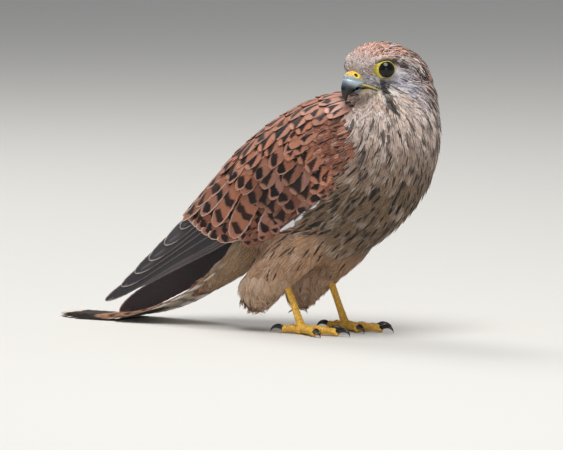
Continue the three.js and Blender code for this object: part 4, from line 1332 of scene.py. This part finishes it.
def dress_wing(name):
    wing = WINGS[name]
    draws = np.random.default_rng(900 + wing.side)

    def lay(vanes, tip, slant, length, bend, half, paint, rise, vary=0.0, **shape):
        """Add one feather. rise is how far its root and tip stand off the shell, and vary lifts the tip."""
        own = Draw(draws)
        tip_rise = rise[1] + (draws.uniform(-0.1, vary) if vary else 0)
        spot = slanted(wing, tip, slant, length, bend)
        vanes.add(spot, length, half, paint, own, rise=(rise[0], tip_rise), **shape)

    small = Vanes(f"coverts_{name}", "rufous_feathers", cells=12)
    for tip in lattice(draws, on_middle_coverts, 7.2, 7.4, 40):
        length = draws.uniform(14.5, 17)
        lay(small, tip, 38 + draws.normal(0, 8), length, draws.normal(0, 0.8), draws.uniform(4.3, 5.2),
            spotted(RUFOUS, (2.6, 9.5), 3.1, 0.4, chance=0.85), (-1.8, 0.5), 0.3, cell=0.7, camber=0.5,
            roll=0.3)
    for tip in lattice(draws, on_great_coverts, 8.6, 11.0, 42):
        length = draws.uniform(23, 27)
        # Darker towards the wing's lower edge: partly the coverts' own deeper rufous, partly painted shade.
        brown = blend(RUFOUS * 0.9, RUFOUS_DEEP * 0.68, smooth(tip[1], 25, -25))
        paint = spotted(brown, (3.2, 12), 4.1, 0.5) if draws.random() < 0.6 else barred(brown, 5, 10, 4.8)
        lay(small, tip, 42 + draws.normal(0, 6), length, draws.normal(0, 1.2), draws.uniform(5.6, 6.6), paint,
            (-2.0, 0.2), 0.3, cell=0.8, camber=0.6, roll=0.35)
    for s in np.linspace(0, 1, 15):
        y, length = lerp(-38, 44, s), lerp(11, 24, s)
        lay(small, (y, edge_of(LOWER_EDGE, y) + 1), 14 + draws.normal(0, 4), length, 0.0, lerp(3.0, 5.0, s),
            spotted(RUFOUS_DEEP, (2.4, 7), 1.8, 0.6, chance=0.7), (-1.9, 0.15), cell=0.8, roll=0.3)
    small.finish()
    large = Vanes(f"scapulars_{name}", "rufous_feathers", cells=8)
    for tip in lattice(draws, on_scapulars, 9.2, 10.5, 38):
        big = float(smooth(tip[0], -30, 25))
        slant = lerp(10, 44, float(smooth(tip[1], 88, 55))) + draws.normal(0, 6)
        length = lerp(17, 26, big) * draws.uniform(0.94, 1.06)
        # Paler and pinker towards the front: partly the mantle's own paler tone, partly a painted sheen of
        # light on it.
        pink = blend(RUFOUS, srgb(220, 176, 164), smooth(tip[0], 8, -32) * 0.85)
        arrow = spotted(pink, (3.2, 10 + 4 * big), 2.7 + 1.5 * big, 0.6)
        paint = arrow if draws.random() < 0.72 else barred(pink, 5, 10, 4.4)
        lay(large, tip, slant, length, draws.normal(0, 1.0), lerp(5.2, 6.6, big), paint, (-1.8, 0.75), 0.25,
            camber=0.6, cell=0.8, roll=0.35)
    large.finish()
    long = Vanes(f"tertials_{name}", "rufous_feathers", cells=4)
    for k, (y, angle, slant, length, half) in enumerate(TERTIALS):
        paint = pale_rim(barred(RUFOUS * 0.8, 6.5, 10.5, 4.8, lean=-0.45), 0.4)
        lay(long, (y, angle), slant, length, -1.5, half, paint, (-2.4, -0.3 - 0.02 * k), camber=0.8,
            cell=0.85, roll=0.4)
    long.finish()
    inner = Vanes(f"secondary_vanes_{name}", "rufous_feathers", (f"secondaries_{name}",), cells=4)
    for i in range(12):
        s = i / 11
        root, tip = (lerp(2, 30, s), lerp(-46, 70, s)), (lerp(48, 99, s**0.5), lerp(-43, 70, s))
        paint = barred(blend(RUFOUS_DEEP, RUFOUS, s), 5.5, 9.5, 4.2, 0.4, 1.5)
        inner.add(on_wing(wing, root, tip), tip[0] - root[0], lerp(7.4, 9.0, s), pale_rim(paint, 0.8),
                  Draw(draws), rise=(-4.4 + 0.13 * i, -3.4 + 0.19 * i), camber=0.8, cell=1.1, roll=-0.3)
    inner.finish()
    outer = Vanes(f"primary_vanes_{name}", "slate_feathers", (f"primaries_{name}",), cells=4)
    for i, (start, y, z, half) in enumerate(PRIMARIES[name]):
        outer.add(wing_tip_blade(wing, (10, start), (y, z)), math.hypot(y - 10, start - z), half, slate,
                  Draw(draws), kind="long", rise=(-6.4 - 0.42 * i, -4.4 - 0.42 * i), camber=0.35, cell=1.3,
                  thick=0.3, ragged=0.015)
    outer.finish()
    edge = Vanes(f"alula_{name}", "slate_feathers", cells=4)
    for k, (y, angle, length, half) in enumerate(ALULA):
        lay(edge, (y, angle), 16, length, 0.0, half, alula, (-0.2, 1.1 - 0.3 * k), camber=0.5, cell=0.7,
            kind="pointed", roll=0.4)
    edge.finish()


for wing_name in SIDES:
    dress_wing(wing_name)

# How much shorter each side's tail feathers are than the longest one, from the middle outwards.
TAIL_SHORT = {"left": (0, 1, 4, 8, 13, 20), "right": (0, 1, 4, 9, 15, 50)}


def tail_paint(i):
    """Rufous above and pale below, with narrow dark bars, a broad one near the tip, and a white tip."""
    def paint(d, side, edge, t, a, draw, under):
        rgb = toned(srgb(196, 178, 152) if under else srgb(172, 122, 92), d, draw)
        outer = smooth(a, 0.1, 0.5) if i > 2 else 0 * a
        if under:
            rgb = blend(rgb, WHITE, outer * 0.8)
        d = d + 0.3 * np.abs(side) - 0.5 * draw.shift + 0.5 * np.sin(side * 0.8 + draw.phase)
        off = np.abs((d - 47 + 6.5) % 13 - 6.5)
        ink = smooth(off, 2.8, 1.7) * smooth(d, 40, 42) * (0.7 if under else 0.88)
        return layered(
            rgb,
            (DARK, np.maximum(ink, smooth(d, 9, 11) * smooth(d, 35, 33) * 0.96)),
            (srgb(220, 208, 194), smooth(d, 11, 9)),
            (srgb(120, 96, 76), smooth(np.abs(side), 0.5, 0.2) * 0.6 * smooth(d, 4, 12)),
        )
    return paint


def dress_tail():
    vanes = Vanes("tail_vanes", "tail_feathers", ("tail",), cells=4)
    draws = np.random.default_rng(77)
    for name, side in SIDES.items():
        for i, short in enumerate(TAIL_SHORT[name]):
            length = TAIL["length"] - short
            layer = -0.5 * (i + (0.5 if side < 0 else 0))

            def spot(t, across, out, i=i, side=side, length=length, layer=layer):
                y, z = tail_path(lerp(-14, length, t), layer + TAIL["lift"] + out)
                x = side * (1.2 + i * lerp(0.4, 2.3, t)) + side * across
                return clear_of_floor(np.stack([x, y, z], -1))

            vanes.add(spot, length + 14, 10.3, tail_paint(i), Draw(draws), kind="tail", rise=(0, 0),
                      thick=0.3, camber=0.35, cell=1.5, ragged=0.012)
    vanes.finish()


dress_tail()


# The head's bare parts: eyes, eye rings, cere and bill
def horn_rings(rows, count, sides, top, below=None):
    """A horn's rings, narrowed by top towards its upper side."""
    places = np.linspace(0, rows[-1][0], count)
    at, along = frame_along(Curve(rows), places)
    forward, up, width, above = at.T
    under = above if below is None else below(places)[:, 0]
    ups = np.stack([-along[:, 1], 0 * forward, along[:, 0]], -1)
    middles = np.stack([forward, 0 * forward, up], -1)
    rings = ellipse_rings(middles, [0, 1, 0], ups, width, above, under, sides)
    rings[:, :, 1] *= 1 - top * np.clip(np.sin(round_angles(sides)), 0, 1) ** 2
    return rings


def head_piece(name, list_of_rings, paint, material, slot, *replaces):
    tube_piece(name, list_of_rings, head_to_body, paint, MAT[material], slot, replaces)


def bill_paint(p):
    """Pale blue-grey at the root, darkening along the ridge and down to a black tip and cutting edge."""
    f, side, u = p.T
    down = -u + np.clip(f - 22, 0, 6) * 0.5
    return layered(
        all_over(srgb(176, 192, 200), p),
        (srgb(122, 132, 142), smooth(down, 5.5, 9)),
        (srgb(40, 42, 50), smooth(down, 7.5, 10.5)),
        (srgb(70, 82, 96), smooth(f, 27.2, 29) * 0.6),
        (srgb(196, 198, 160), smooth(f, 20.5, 18) * 0.7),
        (srgb(8, 8, 11), smooth(down, 9.2, 11.8)),
    )


def lower_bill_paint(p):
    """Yellowish at the root and slate in front, with painted shade of the gap between the bills along the top.
    """
    f, side, u = p.T
    top = np.interp(f, [11, 14.5, 19, 22.5], [-9.2, -9.0, -9.7, -10.9])
    return layered(
        all_over(srgb(206, 192, 112), p),
        (srgb(120, 124, 118), smooth(f, 17, 20)),
        (srgb(40, 42, 50), smooth(f, 20, 23)),
        # Painted shade in the gap between the bills.
        (srgb(26, 24, 26), smooth(u - top, -0.3, 0.3)),
    )


NOSTRIL = (22.4, -0.6)  # forward and up


def from_nostril(f, u):
    return np.hypot(f - NOSTRIL[0], u - NOSTRIL[1])


def cere_paint(p):
    """Yellow, with the horn's blue-grey under a slanting line, fine wrinkles, and the nostril, its hole painted
    dark as shade inside it.
    """
    f, side, u = p.T
    rgb = layered(
        all_over(YELLOW, p),
        (srgb(206, 150, 54), smooth(np.abs(side), 2.2, 0.5) * smooth(f, 23, 26) * 0.6),
        (srgb(186, 168, 88), smooth(np.abs(side), 3, 5.5) * 0.7 * smooth(f, 24, 20)),
        (srgb(168, 184, 190), smooth(u + 0.2 + (27 - f) * 0.42, 0.5, -0.5)),
    )
    rgb = rgb * (1 - 0.12 * smooth(np.sin(3.4 * f + 1.6 * u), 0.2, 1))[:, None]
    hole = from_nostril(f, u)
    rim = (srgb(240, 208, 70), smooth(hole, 2.2, 1.5))
    # Painted shade: the nostril's hole is dark inside.
    return layered(rgb, rim, (srgb(40, 12, 8), smooth(hole, 1.2, 0.9)))


def dented(rings):
    """The cere with its two nostrils pressed in, each with a raised rim."""
    for side in (-1, 1):
        away = from_nostril(rings[..., 0], rings[..., 2]) + 9 * (rings[..., 1] * side < 0)
        push = 1.5 * smooth(away, 1.25, 0.5) - 0.28 * np.exp(-(((away - 1.75) / 0.5) ** 2))
        rings[..., 1] -= side * push
    return rings


def toothed(rings):
    """The upper bill with the falcon's tooth on each cutting edge."""
    f, side, u = rings[..., 0], rings[..., 1], rings[..., 2]
    near = np.exp(-(((f - 24.4) / 0.9) ** 2)) * smooth(-u, 7.5, 9.0) * smooth(np.abs(side), 0.6, 1.6)
    rings[..., 2] -= near * 0.9
    return rings


cere_rings = dented(horn_rings(CERE, 70, 120, 0.08))
upper_rings = toothed(horn_rings(UPPER_BILL, 60, 48, 0.25, BILL_BELOW))
lower_rings = horn_rings(LOWER_BILL, 24, 32, 0.0)
head_piece("cere_skin", [cere_rings], cere_paint, "bare", "bare_yellow_skin", "cere")
head_piece("bill_upper_horn", [upper_rings], bill_paint, "horn", "bill_horn", "bill_upper")
head_piece("bill_lower_horn", [lower_rings], lower_bill_paint, "horn", "bill_horn", "bill_lower")

# The fleshy corner of the mouth, and a dark tube along the line between the bills as painted shade in the gap
# there: rows of place, forward, side, up and radius, and the colour.
GAPES = {
    "gape": ([[0, 19.6, 6.6, -6.0, 0.4], [1, 17.6, 8.4, -6.9, 0.6], [2, 14.5, 10.9, -8.1, 0.55],
              [3, 11.6, 12.7, -9.5, 0.45], [4, 10.2, 13.3, -10.3, 0.3]], srgb(198, 180, 96)),
    "mouth_shade_line": ([[0, 21.5, 5.0, -9.4, 0.3], [1, 19, 7.2, -7.9, 0.45], [2, 15.5, 10.0, -8.6, 0.45],
                    [3, 12, 12.4, -10.2, 0.3]], srgb(40, 34, 34)),
}


def gape_rings(rows, side):
    x, y, z, radius = Curve(rows)(np.linspace(0, rows[-1][0], 24)).T
    middles = np.stack([x, side * y, z], -1)
    return ellipse_rings(middles, [0.3, side * 0.95, 0], [0, 0, 1], radius, radius, radius, 12)


for gape_name, (gape_rows, gape_colour) in GAPES.items():
    head_piece(gape_name, [gape_rings(gape_rows, s) for s in (-1, 1)],
               lambda p, colour=gape_colour: all_over(colour, p), "bare", "bare_yellow_skin")


def eye_axes(side):
    """An eye's middle and the ways it faces: outwards and, along the face, forwards."""
    c, s = math.cos(EYE["facing"]), math.sin(EYE["facing"])
    deeper = EYE["far_deeper"] * (side < 0)
    middle = np.array([EYE["forward"], side * (EYE["side"] - deeper), EYE["up"]])
    return middle, np.array([s, side * c, 0.0]), np.array([c, -side * s, 0.0])


def off_axis(p, middle, out):
    """How far along out each point lies from the middle, and how far from that axis."""
    along = (p - middle) @ out
    return along, np.linalg.norm((p - middle) - along[:, None] * out, axis=-1)


def eye_ball(name, side):
    middle, out, front = eye_axes(side)
    lat, lon = np.meshgrid(np.linspace(0.02, np.pi - 0.02, 60), round_angles(72), indexing="ij")
    r = EYE["radius"]
    bulge = 1 + 0.05 * np.exp(-((lat / 0.55) ** 2))
    outwards = out * (np.cos(lat) * r * bulge)[..., None]
    forwards = front * (np.sin(lat) * np.cos(lon) * r)[..., None]
    rings = middle + (outwards + forwards + UP * (np.sin(lat) * np.sin(lon) * r)[..., None])

    def paint(p):
        along, away = off_axis(p, middle, out)
        return blend(all_over(srgb(6, 6, 9), p), srgb(28, 18, 14), smooth(away, 3.5, 3.9) * (along > 0))

    head_piece(f"eyeball_{name}", [rings], paint, "eye", "eye", f"eye_{name}")


def eye_ring(name, side):
    """The bare yellow ring, wider in front of the eye, with a thin dark line along its inner edge."""
    middle, out, front = eye_axes(side)
    turn = round_angles(120)
    across = round_angles(22)
    lobe = np.clip(np.cos(turn - math.radians(-4)), 0, 1) ** 4
    inner = EYE["opening"] - 0.55
    wide = 0.26 + (1.75 if side > 0 else 1.0) * lobe
    radial = np.cos(turn)[:, None] * front + np.sin(turn)[:, None] * UP
    depth = np.sqrt(EYE["radius"] ** 2 - inner**2)
    crumple = 0.09 * np.sin(turn * 17) + 0.06 * np.sin(turn * 31 + 1)
    rings = []
    for angle in across:
        reach = inner + wide - np.cos(angle) * wide
        fall = 0.55 * (reach - inner) + 0.25 * lobe * (reach - inner)
        rise = depth + np.sin(angle) * (0.42 + 0.2 * lobe + crumple * (math.sin(angle) > 0)) - fall
        rings.append(middle + radial * reach[:, None] + out * rise[:, None])
    points = np.stack(rings, 1).reshape(-1, 3)
    n = len(across)
    i, j = np.meshgrid(np.arange(len(turn)), np.arange(n), indexing="ij")
    i2, j2 = (i + 1) % len(turn), (j + 1) % n
    faces = np.stack([i * n + j, i2 * n + j, i2 * n + j2, i * n + j2], -1).reshape(-1, 4)
    ob = object_of(f"eye_ring_{name}", head_to_body(points), [faces])
    reach = off_axis(points, middle, out)[1]
    low_front = np.repeat(lobe, n) * smooth(points[:, 2] - middle[2], 0, -4)
    add_colours(ob, layered(
        all_over(srgb(206, 190, 66), points),
        (srgb(168, 148, 62), smooth(reach, inner + 0.9, inner + 2.2)),
        (srgb(60, 52, 26), smooth(reach, inner + 0.3, inner) * 0.8),
        (srgb(150, 128, 44), low_front * 0.6),
    ))
    finish_piece(ob, MAT["bare"], "bare_yellow_skin")


for eye_name, eye_side in SIDES.items():
    eye_ball(eye_name, eye_side)
    eye_ring(eye_name, eye_side)


# Legs and feet
TOES = {
    "inner": dict(heading=-30, length=19, radius=2.6),
    "middle": dict(heading=0, length=28, radius=2.7),
    "outer": dict(heading=32, length=21, radius=2.5),
    "hind": dict(heading=176, length=14, radius=2.7),
}


def toe_place(name, heading, distance):
    x, y = FEET[name]
    turn = math.radians(heading)
    return np.stack([x + SIDES[name] * math.sin(turn) * distance, y - math.cos(turn) * distance], -1)


def toe_across(name, heading):
    turn = math.radians(heading)
    return np.array([SIDES[name] * math.cos(turn), math.sin(turn), 0.0])


def scutes(t, count, angle, top=np.pi / 2, depth=0.35):
    """Overlapping plates along the upper side of a toe or the front of a leg."""
    plate = (1 - (t * count) % 1) ** 1.5 - 0.5
    facing = np.clip(np.cos(angle - top), 0, 1)
    beads = 0.14 * np.sin(t * count * 2 * np.pi * 1.6) * np.sin(angle * 7)
    return depth * plate * facing**0.6 + beads * (1 - facing)


def tarsus_rings(name, count=110, sides=40):
    x, y = FEET[name]
    t, angle = np.linspace(0, 1, count), round_angles(sides)
    size = Curve([[0, 2.9, 3.2], [0.5, 2.5, 2.8], [0.85, 2.8, 3.1], [1, 3.4, 3.6]])(t)
    middle = np.stack([np.full(count, x), lerp(y + 13.6, y, t), lerp(36, 5.0, t)], -1)
    plates = scutes(t[:, None], 13, angle[None], top=-np.pi / 2, depth=0.3)
    w, d = (size[:, k, None] + plates for k in (0, 1))
    right, back = np.array([1.0, 0, 0]), np.array([0, 0.9, 0.43])
    return middle[:, None] + right * (np.cos(angle) * w)[..., None] + back * (np.sin(angle) * d)[..., None]


def toe_rings(name, toe, count=84, sides=32):
    size = TOES[toe]
    t, angle = np.linspace(0, 1, count), round_angles(sides)
    pads = 1 + 0.09 * np.sin(t * 5 * np.pi + 0.4)
    end = np.sqrt(np.clip(1 - np.clip((t - 0.86) / 0.16, 0, 1) ** 2, 0.2, 1))
    pad = size["radius"] * pads * lerp(1.05, 0.8, t) * end
    height = np.minimum(np.maximum(pad * 0.94, 1.6) + 1.2 * np.sin(np.pi * t), pad + 0.6)
    reach = pad[:, None] - 0.15 + scutes(t[:, None], size["length"] / 2.0, angle[None], depth=0.5)
    flat = toe_place(name, size["heading"], lerp(0.5, size["length"], t))
    middle = np.concatenate([flat, height[:, None]], -1)[:, None]
    across = toe_across(name, size["heading"])
    sideways = across * (np.cos(angle) * reach)[..., None]
    return clear_of_floor(middle + sideways + UP * (np.sin(angle) * reach)[..., None])


def claw_rings(name, toe, count=30, sides=20):
    size = TOES[toe]
    path = Curve([[0, -2, 2.7, 1.5], [1, 1.6, 4, 1.6], [2, 5, 3.9, 1.2], [3, 7.6, 2.4, 0.8],
                  [4, 8.5, 0.35, 0.2]])
    distance, height, radius = path(np.linspace(0, 4, count)).T
    flat = toe_place(name, size["heading"], size["length"] + distance)
    middle = np.concatenate([flat, height[:, None]], -1)
    across = toe_across(name, size["heading"])
    return clear_of_floor(ellipse_rings(middle, across, UP, radius * 0.8, radius, radius, sides))


def pad_rings(name, count=24, sides=36):
    x, y = FEET[name]
    lat = np.linspace(0.03, np.pi - 0.03, count)[:, None]
    angle = round_angles(sides)
    r = 4.2 + 0.12 * np.sin(angle * 9)[None] * np.sin(lat * 6)
    z = 3.2 + np.broadcast_to(np.cos(lat), r.shape) * r * 0.85
    flat = np.sin(lat)
    return clear_of_floor(np.stack([x + flat * np.cos(angle) * r, y + flat * np.sin(angle) * r, z], -1))


def leg_paint(p):
    x, y, z = p.T
    speck = np.sin(x * 5.1 + 2 * np.sin(z * 3.3)) * np.sin(y * 4.7 + 2 * np.sin(x * 2.9)) * np.sin(z * 4.1)
    return layered(
        all_over(LEG_YELLOW, p),
        (srgb(130, 88, 36), smooth(speck, 0.35, 0.75) * 0.6),
        (srgb(238, 206, 120), smooth(speck, -0.3, -0.7) * 0.4),
    )


for foot_name in SIDES:
    scaly = [f"tarsus_{foot_name}", f"foot_{foot_name}"] + [f"toe_{foot_name}_{toe}" for toe in TOES]
    rings = [tarsus_rings(foot_name), pad_rings(foot_name)] + [toe_rings(foot_name, toe) for toe in TOES]
    tube_piece(f"foot_scales_{foot_name}", rings, np.asarray, leg_paint, MAT["scale"], "leg_scales", scaly)
    tube_piece(f"talons_{foot_name}", [claw_rings(foot_name, toe) for toe in TOES], np.asarray,
               lambda p: all_over(srgb(22, 20, 22), p), MAT["horn"], "claw_horn",
               [f"claw_{foot_name}_{toe}" for toe in TOES])


# The floor, the light and the camera
def make_floor():
    size = 12.0
    me = bpy.data.meshes.new("floor")
    corners = [(-size, -size, 0), (size, -size, 0), (size, size, 0), (-size, size, 0)]
    me.from_pydata(corners, [], [(0, 1, 2, 3)])
    floor = bpy.data.objects.new("floor", me)
    bpy.context.scene.collection.objects.link(floor)
    mat = bpy.data.materials.new("pale_floor")
    mat.use_nodes = True
    shader = mat.node_tree.nodes["Principled BSDF"]
    shader.inputs["Base Color"].default_value = (0.7, 0.69, 0.66, 1)
    shader.inputs["Roughness"].default_value = 0.9
    me.materials.append(mat)


def area_light(name, place, target, size, power, colour):
    data = bpy.data.lights.new(name, "AREA")
    data.shape = "DISK"
    data.size = size
    data.energy = power
    data.color = colour
    lamp = bpy.data.objects.new(name, data)
    lamp.location = place
    lamp.rotation_euler = (Vector(target) - Vector(place)).to_track_quat("-Z", "Y").to_euler()
    bpy.context.scene.collection.objects.link(lamp)


def make_light():
    world = bpy.data.worlds.new("studio")
    world.use_nodes = True
    sky = world.node_tree.nodes["Background"]
    sky.inputs["Color"].default_value = (0.86, 0.88, 0.92, 1)
    sky.inputs["Strength"].default_value = 0.34
    bpy.context.scene.world = world
    middle = (0, 0, 0.1)
    area_light("key", (-0.55, -0.55, 1.9), middle, 1.3, 36, (1, 0.98, 0.95))
    area_light("fill", (-1.6, -1.4, 0.5), middle, 1.4, 5, (0.95, 0.97, 1))
    area_light("rim", (0.6, 1.3, 1.5), middle, 1.0, 16, (1, 0.98, 0.95))


AIM = (-0.00966, 0.02388 - 0.056499, 0.06605)  # where the camera looks
AWAY = 6  # how far the camera is from there


def make_camera():
    azimuth, elevation = (math.radians(a) for a in (-55, 5))
    flat = math.cos(elevation)
    back = Vector((math.sin(azimuth) * flat, -math.cos(azimuth) * flat, math.sin(elevation)))
    data = bpy.data.cameras.new("camera")
    data.sensor_width = 36
    data.lens = 618.8
    data.clip_start, data.clip_end = 0.1, 100
    camera = bpy.data.objects.new("camera", data)
    camera.location = Vector(AIM) + back * AWAY
    camera.rotation_mode = "QUATERNION"
    camera.rotation_quaternion = (-back).to_track_quat("-Z", "Y")
    bpy.context.scene.collection.objects.link(camera)
    bpy.context.scene.camera = camera


make_floor()
make_light()
make_camera()
bpy.context.scene.view_settings.view_transform = "Standard"
bpy.context.view_layer.update()
